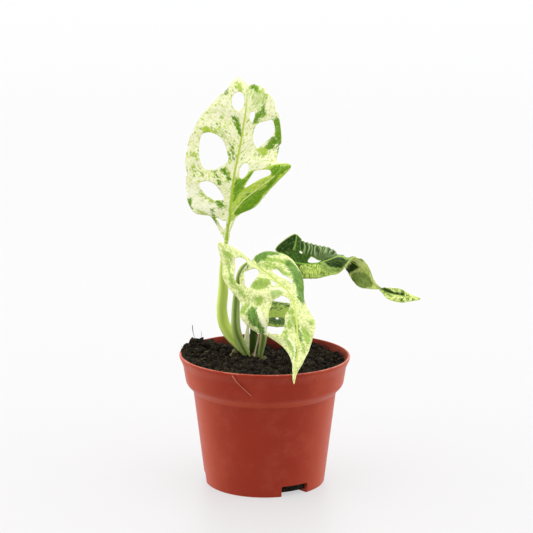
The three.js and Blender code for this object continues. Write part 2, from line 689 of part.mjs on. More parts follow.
function place(name, solid, finish) {
  const material = new THREE.MeshStandardMaterial(FINISHES[finish]);
  const mesh = new THREE.Mesh(geometryOf(mainBody(solid)), material);
  mesh.name = name;
  plant.add(mesh);
}

const cutClear = (solid, rooms) => rooms.reduce((left, room) => left.subtract(room), solid);

const petioleOrder = ['front', 'tall', 'side', 'small'];
const blades = Object.fromEntries(petioleOrder.map((name) => [name, new Blade(BLADES[name])]));
const plans = Object.fromEntries(petioleOrder.map((name) => [name, petiolePlan(name)]));

// Where petioles crowd together at the foot, each is cut clear of those already placed.
const petioles = {};
const petioleRooms = [];
for (const name of petioleOrder) {
  petioles[name] = cutClear(stalk(plans[name]), [...petioleRooms, ...blades[name].baseRooms()]);
  petioleRooms.push(stalk(plans[name], GAP));
}
const sheathBlade = new Blade(SHEATH);
const growthRooms = [
  ...petioleRooms,
  sheathBlade.sheet(BLADE_THICKNESS + 2 * GAP),
  stalk(DRY_STRAND, GAP),
];
const channelRooms = CHANNEL.bearings.map((bearing) => {
  const [thick, inner] = [CHANNEL.roof + GAP, CHANNEL.inner - CHANNEL.roof - GAP];
  return channelBlock(bearing, thick, 0, CHANNEL.height + thick, inner, CHANNEL.outer);
});
const soilRooms = [...growthRooms, ...channelRooms, stalk(STEM, GAP), stalk(STRAW, GAP)];

place('pot', makePot(), 'terracotta');
place('soil', cutClear(makeSoil(), soilRooms), 'soil');
place('stem', cutClear(stalk(STEM), growthRooms), 'stem');
for (const name of petioleOrder) place(`petiole_${name}`, petioles[name], 'petiole');
for (const name of petioleOrder) {
  place(`blade_${name}`, blades[name].solid(), name === 'side' ? 'greenLeaf' : 'creamLeaf');
}
place('bud_sheath', cutClear(sheathBlade.sheet(), petioleRooms), 'drySheath');
place('dry_strand', cutClear(stalk(DRY_STRAND), petioleRooms), 'straw');
place('straw_fibre', stalk(STRAW), 'straw');

export default plant;
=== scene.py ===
"""Looks of the potted monstera: leaves, stalks, pot and soil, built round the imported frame.

Sizes and places are in millimetres until a mesh is made, and then in metres. The origin is on the
pot's axis, on the surface that it stands on, with +X to the right and +Y away from the front.
"""

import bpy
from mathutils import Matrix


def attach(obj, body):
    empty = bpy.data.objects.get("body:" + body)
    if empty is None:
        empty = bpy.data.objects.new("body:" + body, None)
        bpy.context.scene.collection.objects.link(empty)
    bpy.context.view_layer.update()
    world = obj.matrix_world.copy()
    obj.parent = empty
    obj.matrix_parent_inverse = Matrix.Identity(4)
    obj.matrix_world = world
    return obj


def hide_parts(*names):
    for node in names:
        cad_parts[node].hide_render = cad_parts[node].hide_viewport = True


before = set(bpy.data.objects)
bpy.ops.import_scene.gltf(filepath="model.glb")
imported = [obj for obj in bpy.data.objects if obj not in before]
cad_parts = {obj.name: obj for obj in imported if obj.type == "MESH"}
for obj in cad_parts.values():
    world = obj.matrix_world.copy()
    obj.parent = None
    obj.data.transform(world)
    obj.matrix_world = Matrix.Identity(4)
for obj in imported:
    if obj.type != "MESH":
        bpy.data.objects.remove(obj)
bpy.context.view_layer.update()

import logging
import math
from collections.abc import Iterable, Sequence
from dataclasses import dataclass, field
from enum import Enum

import bmesh
import bpy
import numpy as np
from mathutils import Vector, noise
from mathutils.geometry import delaunay_2d_cdt

LOG = logging.getLogger("monstera")
MM = 0.001
BODY = "root"
WANDER_SEED = 7

Colour = tuple[float, float, float, float]
Point = tuple[float, float, float]
Spot = tuple[float, float]
Array = np.ndarray
Shape = tuple[np.ndarray, list[tuple[int, ...]]]
Piece = bpy.types.Object
Material = bpy.types.Material
Socket = bpy.types.NodeSocket


def srgb(*values: float) -> Colour:
    """Turn red, green and blue of 0 to 255 on a screen into a linear colour with full opacity."""
    shares = [value / 255 for value in values]
    return *(s / 12.92 if s <= 0.04045 else ((s + 0.055) / 1.055) ** 2.4 for s in shares), 1.0


# Shapes that all pieces share.


class SmoothCurve:
    """A Catmull-Rom curve through points of any size, the same that the solids follow."""

    def __init__(self, points: Sequence[Sequence[float]], closed: bool = False) -> None:
        """Keep the points, and whether the curve returns to its first one."""
        self.points = np.array(points, float)
        self.closed = closed

    def at(self, share: Array | float) -> Array:
        """Give places on the curve.

        Args:
            share: How far along, from 0 to 1, as a number or an array.

        Returns:
            The places, one row for each share.
        """
        count = len(self.points)
        spans = count if self.closed else count - 1
        place = np.clip(np.atleast_1d(np.asarray(share, float)), 0, 1) * spans
        first = np.minimum(np.floor(place).astype(int), spans - 1)
        part = (place - first)[:, None]
        if self.closed:
            before, start, end, after = (self.points[(first + step) % count] for step in (-1, 0, 1, 2))
        else:
            ends = 2 * self.points[[0, -1]] - self.points[[1, -2]]
            row = np.vstack([ends[:1], self.points, ends[1:]])
            before, start, end, after = (row[first + step] for step in range(4))
        leave, arrive = (end - before) / 2, (after - start) / 2
        bend = -3 * start + 3 * end - 2 * leave - arrive
        twist = 2 * start - 2 * end + leave + arrive
        return start + leave * part + bend * part ** 2 + twist * part ** 3

    def tangent(self, share: Array) -> Array:
        """Give the curve's unit direction at each share of its way."""
        step = 1e-4
        return unit(self.at(np.minimum(share + step, 1)) - self.at(np.maximum(share - step, 0)))


def unit(rows: Array) -> Array:
    """Scale each row to a length of one."""
    return rows / np.maximum(np.linalg.norm(rows, axis=-1, keepdims=True), 1e-12)


def smooth_step(low: float, high: float, value: Array) -> Array:
    """Ease values from 0 at low to 1 at high."""
    part = np.clip((value - low) / (high - low), 0, 1)
    return part * part * (3 - 2 * part)


def within(outline: Array, spots: Array) -> Array:
    """Tell which spots of a plane lie inside a closed outline.

    Args:
        outline: The outline's corners in order.
        spots: The spots.

    Returns:
        True for each spot inside.
    """
    inside = np.zeros(len(spots), bool)
    x, y = spots.T
    for (x0, y0), (x1, y1) in zip(outline, np.roll(outline, -1, axis=0)):
        if y0 != y1:
            inside ^= ((y0 > y) != (y1 > y)) & (x < (x1 - x0) * (y - y0) / (y1 - y0) + x0)
    return inside


def nearest(targets: Array, spots: Array) -> Array:
    """Measure from each spot to the closest target.

    Args:
        targets: The points measured to.
        spots: The points measured from.

    Returns:
        One distance for each spot.
    """
    found = np.empty(len(spots))
    for start in range(0, len(spots), 2000):
        block = slice(start, start + 2000)
        found[block] = np.sqrt(((spots[block, None] - targets) ** 2).sum(-1).min(1))
    return found


def fill_plane(outline: Array, openings: Sequence[Array], spacing: float,
               lines: Sequence[Array] = ()) -> tuple[Array, Array]:
    """Fill a flat outline with even triangles, its openings left free.

    Args:
        outline: The outer outline's corners.
        openings: The outline of each opening.
        spacing: How far apart the points inside lie.
        lines: Open lines that the triangles' edges follow.

    Returns:
        The points of the plane, and the triangles, which turn anticlockwise.
    """
    def filled(places: Array) -> Array:
        """Keep the places inside the outline and outside its openings."""
        return within(outline, places) & ~np.any([within(ring, places) for ring in openings], axis=0)

    rings = [outline, *openings]
    low, high = outline.min(0), outline.max(0)
    row_height, clear_share, weld = 0.866 * spacing, 0.55, 1e-5
    rows = []
    for i, y in enumerate(np.arange(low[1], high[1], row_height)):
        row = np.arange(low[0] + (i % 2) * spacing / 2, high[0], spacing)
        rows.append(np.column_stack([row, np.full(len(row), y)]))
    grid = np.vstack(rows)
    grid = grid[filled(grid)]
    grid = grid[nearest(np.vstack([*rings, *lines]), grid) > clear_share * spacing]
    edges, first = [], 0
    for number, line in enumerate([*rings, *lines]):
        count = len(line)
        last = count if number < len(rings) else count - 1
        edges += [(first + i, first + (i + 1) % count) for i in range(last)]
        first += count
    flat = np.vstack([*rings, *lines, grid])
    result = delaunay_2d_cdt([Vector(spot) for spot in flat.tolist()], edges, [], 0, weld, False)
    points = np.array([tuple(spot) for spot in result[0]])
    triangles = np.array([face for face in result[2] if len(face) == 3])
    triangles = triangles[filled(points[triangles].mean(1))]
    a, b, c = (points[triangles[:, i]] for i in range(3))
    area = (b[:, 0] - a[:, 0]) * (c[:, 1] - a[:, 1]) - (b[:, 1] - a[:, 1]) * (c[:, 0] - a[:, 0])
    triangles[area < 0] = triangles[area < 0][:, ::-1]
    used, numbers = np.unique(triangles, return_inverse=True)
    return points[used], numbers.reshape(triangles.shape)


def border_edges(triangles: Array) -> Array:
    """Find the edges that only one triangle has, in the direction that it turns.

    Args:
        triangles: The triangles.

    Returns:
        One row of two points for each border edge.
    """
    edges = np.vstack([triangles[:, [0, 1]], triangles[:, [1, 2]], triangles[:, [2, 0]]])
    keys = edges.min(1) * (int(triangles.max()) + 1) + edges.max(1)
    _, first, count = np.unique(keys, return_index=True, return_counts=True)
    return edges[first[count == 1]]


def wall_faces(rings: int, count: int) -> list[tuple[int, ...]]:
    """List the faces between rings of as many points each.

    Args:
        rings: How many rings there are.
        count: Points in each.

    Returns:
        The faces.
    """
    return [
        (i * count + j, i * count + (j + 1) % count, (i + 1) * count + (j + 1) % count, (i + 1) * count + j)
        for i in range(rings - 1) for j in range(count)
    ]


def fanned(rings: int, count: int) -> list[tuple[int, ...]]:
    """List the faces of a tube that one more point closes at each end.

    Args:
        rings: How many rings of points it has.
        count: Points in each.

    Returns:
        The faces, with the two ends as the last points.
    """
    foot, last = rings * count, (rings - 1) * count
    faces = wall_faces(rings, count) + [(foot, (j + 1) % count, j) for j in range(count)]
    return faces + [(foot + 1, last + j, last + (j + 1) % count) for j in range(count)]


def capped(rings: int, count: int) -> list[tuple[int, ...]]:
    """List the faces of a tube that one flat face closes at each end."""
    ends = [tuple(reversed(range(count))), tuple(range((rings - 1) * count, rings * count))]
    return wall_faces(rings, count) + ends


def gather(shapes: Iterable[Shape]) -> Shape:
    """Join shapes into one.

    Args:
        shapes: The points and faces of each.

    Returns:
        Their points and faces.
    """
    points, faces, count = [], [], 0
    for spots, sides in shapes:
        faces += [tuple(corner + count for corner in side) for side in sides]
        points.append(spots)
        count += len(spots)
    return np.vstack(points), faces


def make_piece(name: str, points: Array, faces: Sequence[Sequence[int]], material: Material) -> Piece:
    """Make a smooth object at the origin from points and faces.

    Args:
        name: The piece's name.
        points: Its points in millimetres.
        faces: Its faces, each a row of point numbers.
        material: Its finish.

    Returns:
        The new object.
    """
    mesh = bpy.data.meshes.new(name)
    mesh.from_pydata((points * MM).tolist(), [], faces)
    mesh.materials.append(material)
    mesh.polygons.foreach_set("use_smooth", [True] * len(mesh.polygons))
    mesh.update()
    return link(bpy.data.objects.new(name, mesh))


def link(thing: Piece) -> Piece:
    """Put a new object into the scene."""
    bpy.context.scene.collection.objects.link(thing)
    return thing


def evaluated(thing: Piece) -> bpy.types.Mesh:
    """Give an object's mesh with its modifiers applied."""
    return bpy.data.meshes.new_from_object(thing.evaluated_get(bpy.context.evaluated_depsgraph_get()))


def add_value(piece: Piece, name: str, values: Array) -> None:
    """Store one number for each point of a piece, for its material to read."""
    layer = piece.data.attributes.new(name, "FLOAT", "POINT")
    layer.data.foreach_set("value", np.asarray(values, np.float32))


def add_map(piece: Piece, name: str, flat: Array) -> None:
    """Give a piece a flat map of its surface.

    Args:
        piece: The piece.
        name: The map's name.
        flat: Two numbers for each point.
    """
    corners = np.empty(len(piece.data.loops), int)
    piece.data.loops.foreach_get("vertex_index", corners)
    layer = piece.data.uv_layers.new(name=name)
    layer.data.foreach_set("uv", np.asarray(flat, np.float32)[corners].ravel())


def settle(piece: Piece, slot: str, *nodes: str) -> None:
    """Let a piece ride with the plant and stand for its solids.

    Args:
        piece: The finished piece.
        slot: Not used.
        nodes: The solids that it replaces.
    """
    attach(piece, BODY)
    if nodes:
        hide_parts(*nodes)
    LOG.info("%s: %d faces", piece.name, len(piece.data.polygons))


# Nodes and finishes.


class Graph:
    """Places the nodes of one shader or geometry tree and joins them."""

    def __init__(self, tree: bpy.types.NodeTree) -> None:
        """Keep the tree."""
        self.tree = tree

    def feed(self, socket: Socket, value: object) -> None:
        """Set an input or join it to an output.

        Args:
            socket: The input.
            value: A plain value, or an output to join.
        """
        if isinstance(value, Socket):
            self.tree.links.new(value, socket)
        else:
            socket.default_value = value

    def node(self, kind: str, settings: dict | None = None, *values: object,
             **inputs: object) -> bpy.types.Node:
        """Add a node.

        Args:
            kind: The node's type.
            settings: Its properties by name.
            values: Its first inputs in order, each a value or another output.
            inputs: Inputs by name, a space written as an underscore.

        Returns:
            The node.
        """
        made = self.tree.nodes.new(kind)
        for name, value in (settings or {}).items():
            setattr(made, name, value)
        for socket, value in zip(made.inputs, values):
            self.feed(socket, value)
        for name, value in inputs.items():
            self.feed(made.inputs[name.replace("_", " ")], value)
        return made

    def math(self, operation: str, *values: object, clamp: bool = False) -> Socket:
        """Work out one number from others."""
        return self.node("ShaderNodeMath", {"operation": operation, "use_clamp": clamp}, *values).outputs[0]

    def vector(self, operation: str, *values: object, **inputs: object) -> Socket:
        """Work out one vector from others."""
        return self.node("ShaderNodeVectorMath", {"operation": operation}, *values, **inputs).outputs[0]

    def ramp(self, value: object, low: float, high: float, start: float = 0.0, end: float = 1.0) -> Socket:
        """Ease a number from one range into another.

        Args:
            value: The number.
            low: Where the change starts.
            high: Where the change ends.
            start: The result at the low end.
            end: The result at the high end.

        Returns:
            The eased number.
        """
        if low > high:
            low, high, start, end = high, low, end, start
        return self.node("ShaderNodeMapRange", {"interpolation_type": "SMOOTHSTEP"}, Value=value,
                         From_Min=low,
                         From_Max=high, To_Min=start, To_Max=end).outputs["Result"]

    def mix(self, share: object, below: object, above: object) -> Socket:
        """Lay one colour over another.

        Args:
            share: How much of the upper colour shows.
            below: The lower colour.
            above: The upper colour.

        Returns:
            The mixed colour.
        """
        made = self.node("ShaderNodeMix", {"data_type": "RGBA"}, share)
        self.feed(made.inputs[6], below)
        self.feed(made.inputs[7], above)
        return made.outputs[2]

    def cloud(self, place: object, scale: object, detail: float = 2.0, roughness: float = 0.5,
              distortion: float = 0.0) -> Socket:
        """Add soft noise from 0 to 1."""
        return self.node("ShaderNodeTexNoise", Vector=place, Scale=scale, Detail=detail, Roughness=roughness,
                         Distortion=distortion).outputs[0]

    def stretch(self, place: object, scale: Point, shift: Point = (0, 0, 0)) -> Socket:
        """Scale and move a place."""
        return self.node("ShaderNodeMapping", Vector=place, Scale=scale, Location=shift).outputs[0]

    def value(self, name: str) -> Socket:
        """Read a number stored on a piece's points."""
        return self.node("ShaderNodeAttribute", {"attribute_name": name}).outputs["Fac"]

    def map(self, name: str) -> Socket:
        """Read a piece's flat map."""
        return self.node("ShaderNodeUVMap", {"uv_map": name}).outputs[0]

    def local(self) -> Socket:
        """Read the place in the piece's own frame."""
        return self.node("ShaderNodeTexCoord").outputs["Object"]

    def apart(self, place: object) -> tuple[Socket, ...]:
        """Split a place into its three numbers."""
        return tuple(self.node("ShaderNodeSeparateXYZ", Vector=place).outputs)

    def use(self, group: bpy.types.NodeTree, **inputs: object) -> bpy.types.NodeOutputs:
        """Place a node group and give its outputs."""
        return self.node("ShaderNodeGroup", {"node_tree": group}, **inputs).outputs


class MaterialMaker:
    """Starts a material and lays its colours over each other."""

    def __init__(self, name: str, shown: Colour, ground: Colour, **settings: object) -> None:
        """Make the material with its surface shader.

        Args:
            name: The material's name.
            shown: Its viewport colour.
            ground: Its lowest colour.
            settings: The shader's fixed inputs, a space written as an underscore.
        """
        self.material = bpy.data.materials.new(name)
        self.material.use_nodes = True
        self.material.diffuse_color = shown
        self.graph = Graph(self.material.node_tree)
        self.shader = self.material.node_tree.nodes["Principled BSDF"]
        self.colour: object = ground
        for key, value in settings.items():
            self.shader.inputs[key.replace("_", " ")].default_value = value

    def lay(self, tint: object, *shares: object, clamp: bool = False) -> None:
        """Lay a colour over those so far.

        Args:
            tint: The colour.
            shares: Masks and numbers, whose product is how much of it shows.
            clamp: Whether the product is kept between 0 and 1.
        """
        share = shares[0]
        for number, factor in enumerate(shares[1:], 2):
            share = self.graph.math("MULTIPLY", share, factor, clamp=clamp and number == len(shares))
        self.colour = self.graph.mix(share, self.colour, tint)

    def close(self, rough: object, height: object, depth: float, strength: float) -> Material:
        """Join the colour, the roughness and the fine relief to the shader.

        Args:
            rough: The roughness.
            height: The height of the relief, from 0 to 1.
            depth: The depth of 1, in metres.
            strength: How much of it is used.

        Returns:
            The material.
        """
        bump = self.graph.node("ShaderNodeBump", Height=height, Distance=depth, Strength=strength)
        for name, value in (("Base Color", self.colour), ("Roughness", rough), ("Normal", bump.outputs[0])):
            self.graph.feed(self.shader.inputs[name], value)
        return self.material


class TreeMaker:
    """Starts a node group with named inputs and outputs."""

    def __init__(self, name: str, family: str, **inputs: str | float) -> None:
        """Make the group with its inputs.

        Args:
            name: The group's name.
            family: Shader or Geometry.
            inputs: Its inputs by name, each with its usual value or the kind of its socket.
        """
        self.tree = bpy.data.node_groups.new(name, f"{family}NodeTree")
        self.graph = Graph(self.tree)
        entry = self.tree.nodes.new("NodeGroupInput")
        self.exit = self.tree.nodes.new("NodeGroupOutput")
        for label, usual in inputs.items():
            kind = usual if isinstance(usual, str) else "Float"
            made = self.tree.interface.new_socket(label, in_out="INPUT", socket_type=f"NodeSocket{kind}")
            if kind is not usual:
                made.default_value = usual
        self.inputs = [entry.outputs[label] for label in inputs]

    def gives(self, name: str, value: Socket, kind: str = "Float") -> None:
        """Add an output and what it puts out."""
        self.tree.interface.new_socket(name, in_out="OUTPUT", socket_type=f"NodeSocket{kind}")
        self.tree.links.new(value, self.exit.inputs[name])


class SharedEffects:
    """The node groups that more than one finish uses."""

    def __init__(self) -> None:
        """Build each group once."""
        self.build_flecks()
        self.build_torn_patch()
        self.build_dust()
        self.build_fine_grain()

    def build_flecks(self) -> None:
        """Make short dashes of colour that lie along the veins of a leaf."""
        group = TreeMaker("leaf_flecks", "Shader", Place="Vector", Width=0.6, Length=2.0, Amount=0.4,
                          Seed=0.0,
                          Soft=0.14)
        graph, (place, width, length, amount, seed, soft) = group.graph, group.inputs
        wander = graph.node("ShaderNodeTexNoise", Vector=place, Scale=0.55, Detail=2.0).outputs["Color"]
        shift = graph.vector("SUBTRACT", wander, (0.5, 0.5, 0.5))
        across, along, _ = graph.apart(graph.vector("MULTIPLY_ADD", shift, (1.3, 2.2, 0), place))
        spot = graph.node("ShaderNodeCombineXYZ", {},
                          graph.math("ADD", graph.math("DIVIDE", across, width), seed),
                          graph.math("DIVIDE", along, length)).outputs[0]
        cells = graph.node("ShaderNodeTexVoronoi", {"voronoi_dimensions": "2D"}, Vector=spot, Scale=1.0,
                           Randomness=1.0).outputs
        chance, size, _ = graph.apart(cells["Color"])
        inside = graph.math("SUBTRACT", graph.math("MULTIPLY_ADD", size, 0.3, 0.2), cells["Distance"])
        shade = graph.math("DIVIDE", graph.math("ADD", inside, 0.04), graph.math("ADD", soft, 0.04),
                           clamp=True)
        group.gives("Mask", graph.math("MULTIPLY", shade, graph.math("LESS_THAN", chance, amount)))
        self.flecks = group.tree

    def build_torn_patch(self) -> None:
        """Make a patch that a depth on the points gives, its border torn along the veins."""
        group = TreeMaker("torn_patch", "Shader", Place="Vector", Depth=0.0, Tear=9.0, Worn=1.0, Soft=0.3,
                          Seed=0.0)
        graph, (place, depth, tear, worn, soft, seed) = group.graph, group.inputs
        spot = graph.vector("MULTIPLY_ADD", place, (0.85, 0.45, 1), seed)
        wave = graph.math("SUBTRACT", graph.cloud(spot, 1.0, 4.0, 0.6, 0.3), 0.5)
        ragged = graph.math("ADD", depth, graph.math("MULTIPLY", wave, tear))
        mask = graph.math("DIVIDE", graph.math("ADD", ragged, soft), graph.math("MULTIPLY", soft, 2.0),
                          clamp=True)
        lost = graph.math("MULTIPLY", graph.ramp(graph.cloud(spot, 2.1, 3.0, 0.6), 0.58, 0.68), worn)
        group.gives("Mask", graph.math("MULTIPLY", mask, graph.math("SUBTRACT", 1.0, lost)))
        self.torn_patch = group.tree

    def build_dust(self) -> None:
        """Make fine pale dust and dried splashes, thicker where the amount is larger."""
        group = TreeMaker("dust", "Shader", Place="Vector", Amount=0.3)
        graph, (place, amount) = group.graph, group.inputs
        soft = graph.cloud(place, 55.0, 5.0, 0.65)
        level = graph.math("MULTIPLY_ADD", graph.cloud(place, 900.0), 0.35, soft)
        group.gives("Mask", graph.math("MULTIPLY", graph.ramp(level, 0.62, 0.95), amount))
        self.dust = group.tree

    def build_fine_grain(self) -> None:
        """Make small even unevenness for a surface's height and gloss."""
        group = TreeMaker("fine_grain", "Shader", Place="Vector", Scale=900.0)
        graph, (place, scale) = group.graph, group.inputs
        wide = graph.cloud(place, graph.math("MULTIPLY", scale, 0.13))
        group.gives("Height", graph.math("MULTIPLY_ADD", wide, 0.5, graph.cloud(place, scale, 3.0, 0.6)))
        group.gives("Wear", wide)
        self.fine_grain = group.tree


@dataclass(frozen=True)
class LeafFinish:
    """A freckled leaf: its ground, the patches that strokes give and the flecks between them."""

    name: str
    ground: Colour
    light: Colour
    veil: Colour
    grey: Colour
    mid: Colour
    deep: Colour
    deepest: Colour
    rib: Colour
    rib_base: Colour
    margin: Colour
    underside: Colour
    vein: Colour
    dash: Colour
    crest_highlight: Colour = srgb(140, 160, 106)
    speck_amount: float = 0.5
    fleck_amount: float = 0.34
    dash_amount: float = 0.18
    blotch_amount: float = 0.2
    blotch_span: Spot = (0.5, 0.62)
    veil_amount: float = 0.5
    streak: Point = (0.7, 0.4, 1.0)
    thinness: float = 0.35
    grey_share: float = 0.8
    mark_share: float = 0.85
    mark_size: Spot = (1.0, 1.0)
    mark_soft: float = 0.14
    tear: float = 9.0
    worn: float = 1.0
    patch_soft: float = 0.3
    light_share: float = 1.0
    calm: float = 1.0
    tip: Colour = (0.6, 0.65, 0.3, 1.0)
    tip_share: float = 0.0
    pleat_light_share: float = 0.0
    margin_reach: float = 0.6
    under_share: float = 0.35
    vein_share: float = 0.3
    vein_gap: float = 7.0
    gloss: float = 0.36
    shine: float = 0.1
    seed: float = 0.0

    def build(self, effects: SharedEffects) -> Material:
        """Make the material.

        Args:
            effects: The shared node groups.

        Returns:
            The material.
        """
        made = MaterialMaker(
            self.name, self.ground, self.ground, Subsurface_Weight=self.thinness,
            Subsurface_Radius=(1.0, 1.0, 0.7), Subsurface_Scale=0.0012 * self.thinness,
            Specular_IOR_Level=self.shine)
        graph = made.graph
        place = graph.map("veins")
        coarse = graph.stretch(place, (1.0, 1.0, 1.0), (self.seed, self.seed * 1.7, 0))
        under = graph.value("under")
        wave = graph.math("MULTIPLY", graph.math("SUBTRACT", graph.cloud(coarse, 0.5, 4.0, 0.6), 0.5), 2.4)
        bare = graph.ramp(graph.math("ADD", graph.value("clear"), wave), -0.2, 0.3)
        quiet = graph.math("MULTIPLY", graph.math("SUBTRACT", 1.0, graph.math("MULTIPLY", bare, self.calm)),
                           graph.math("MULTIPLY_ADD", under, -0.7, 1.0))
        made.lay(self.light, bare, self.light_share)
        made.lay(self.tip, graph.ramp(graph.value("along"), 0.66, 0.86), self.tip_share)
        made.lay(self.underside, under, self.under_share)
        streaks = graph.ramp(graph.cloud(graph.stretch(coarse, self.streak), 1.0, 4.0, 0.62, 0.4), 0.44, 0.66)
        region = graph.ramp(graph.cloud(coarse, 0.09), 0.4, 0.62, 0.35, 1.0)
        made.lay(self.veil, streaks, region, self.veil_amount, quiet)
        blots = graph.cloud(graph.stretch(coarse, (0.42, 0.3, 1)), 1.0, 2.0, 0.5, 0.3)
        made.lay(self.mid, graph.ramp(blots, *self.blotch_span), quiet, self.blotch_amount, clamp=True)
        self.add_marks(effects, made, place, coarse, quiet)
        # Painted light on the pleats: their ridges are lightened as a painted highlight and their valleys
        # darkened as painted shade.
        height = graph.value("fold")
        made.lay(self.crest_highlight, graph.ramp(height, 0.1, 0.36), self.pleat_light_share)
        made.lay(self.deepest, graph.ramp(height, -0.05, -0.4), self.pleat_light_share)
        self.add_lines(made, place)
        grain = graph.use(effects.fine_grain, Place=graph.local(), Scale=1500.0)
        rough = graph.math("MULTIPLY_ADD", grain["Wear"], 0.14, self.gloss)
        return made.close(graph.math("MULTIPLY_ADD", under, 0.25, rough), grain["Height"], 0.00006, 0.5)

    def add_marks(self, effects: SharedEffects, made: MaterialMaker, place: Socket, coarse: Socket,
                  quiet: Socket) -> None:
        """Lay the flecks and the torn patches over the leaf's ground.

        Args:
            effects: The shared node groups.
            made: The material so far.
            place: The place on the leaf, in millimetres across and along its veins.
            coarse: The same place, moved by the seed.
            quiet: How strong the flecks are.
        """
        graph = made.graph
        depths = {tone: graph.value(tone) for tone in ("grey", "mid", "deep")}
        reach = graph.math("MAXIMUM", graph.math("MAXIMUM", depths["mid"], depths["deep"]), depths["grey"])
        spray = graph.ramp(reach, -2.6, -0.3, 0.0, 0.35)
        crowd = graph.ramp(graph.cloud(coarse, 0.11, 3.0, 0.6), 0.36, 0.58)
        # Each layer of flecks as width, length, amount, seed and colour.
        for width, length, amount, seed, tint in (
            (1.3, 1.8, self.speck_amount, 0.4, self.veil),
            (1.9, 2.9, self.fleck_amount, 3.1, self.mid),
            (1.7, 3.8, self.dash_amount, 5.7, self.dash),
        ):
            if tint is not self.veil:
                amount = graph.math("MULTIPLY_ADD", crowd, amount, spray)
            mark = graph.use(effects.flecks, Place=place, Width=width * self.mark_size[0],
                             Soft=self.mark_soft,
                             Length=length * self.mark_size[1], Seed=self.seed + seed, Amount=amount)["Mask"]
            made.lay(tint, mark, quiet, self.mark_share, clamp=True)
        masks = {
            tone: graph.use(effects.torn_patch, Place=place, Depth=depth, Tear=self.tear, Worn=self.worn,
                            Soft=self.patch_soft, Seed=self.seed + 7.3 * index)["Mask"]
            for index, (tone, depth) in enumerate(depths.items())
        }
        made.lay(self.grey, masks["grey"], self.grey_share)
        shade = graph.ramp(graph.cloud(graph.stretch(coarse, (0.8, 0.3, 1)), 0.8, 4.0, 0.6), 0.42, 0.6)
        made.lay(graph.mix(graph.math("MULTIPLY", shade, 0.45), self.mid, self.deep), masks["mid"], 0.9)
        threads = graph.ramp(graph.cloud(graph.stretch(coarse, (1.3, 0.14, 1)), 1.0, 3.0, 0.6), 0.56, 0.7,
                             0.0, 0.6)
        made.lay(graph.mix(threads, graph.mix(shade, self.deep, self.deepest), self.mid), masks["deep"])

    def add_lines(self, made: MaterialMaker, place: Socket) -> None:
        """Lay the lateral veins, the margins and the midrib over the leaf's colour.

        Args:
            made: The material so far.
            place: The place on the leaf, in millimetres across and along its veins.
        """
        graph = made.graph
        phase = graph.math("FRACT", graph.math("DIVIDE", graph.apart(place)[0], self.vein_gap))
        apart = graph.math("MULTIPLY", graph.math("ABSOLUTE", graph.math("SUBTRACT", phase, 0.5)),
                           self.vein_gap)
        made.lay(self.vein, graph.ramp(apart, 0.55, 0.1), self.vein_share)
        made.lay(self.vein, graph.ramp(graph.value("line"), -0.3, 0.25, 0.0, 0.85))
        rim = graph.ramp(graph.value("margin"), self.margin_reach, 0.25 * self.margin_reach, 0.0, 0.75)
        made.lay(self.margin, rim)
        made.lay(self.margin, graph.ramp(graph.value("opening"), 0.55, 0.1, 0.0, 0.6))
        rib = graph.mix(graph.ramp(graph.value("along"), 0.0, 0.75), self.rib_base, self.rib)
        made.lay(rib, graph.value("rib"))


@dataclass(frozen=True)
class StalkFinish:
    """A smooth leaf stalk whose colour changes up its length, with pale streaks and painted shade in its
    groove.
    """

    name: str
    foot: Colour
    middle: Colour
    top: Colour
    streak: Colour
    groove: Colour
    groove_shade_share: float = 0.6
    streak_share: float = 0.45
    gloss: float = 0.34

    def build(self, effects: SharedEffects) -> Material:
        """Make the material.

        Args:
            effects: The shared node groups.

        Returns:
            The material.
        """
        made = MaterialMaker(
            self.name, self.middle, self.foot, Subsurface_Weight=0.12, Subsurface_Radius=(0.9, 1.0, 0.3),
            Subsurface_Scale=0.0012, Specular_IOR_Level=0.2)
        graph = made.graph
        along, length = graph.value("along"), graph.map("length")
        made.lay(self.middle, graph.ramp(along, 0.0, 0.4))
        made.lay(self.top, graph.ramp(along, 0.45, 1.0))
        fibres = graph.cloud(graph.stretch(length, (1.1, 0.09, 1)), 1.0, 4.0, 0.6)
        made.lay(self.streak, graph.ramp(fibres, 0.45, 0.68), self.streak_share)
        # Painted shade: the groove down the front is darkened.
        made.lay(self.groove, graph.value("groove"), self.groove_shade_share)
        made.lay(self.streak, graph.value("wing"), 0.7)
        specks = graph.use(effects.flecks, Place=length, Width=0.5, Length=1.6, Amount=0.08, Seed=2.0)
        made.lay(self.groove, specks["Mask"], 0.3)
        grain = graph.use(effects.fine_grain, Place=graph.local(), Scale=1200.0)
        return made.close(graph.math("MULTIPLY_ADD", grain["Wear"], 0.2, self.gloss - 0.1),
                          graph.math("MULTIPLY_ADD", fibres, 1.4, grain["Height"]), 0.00008, 0.6)


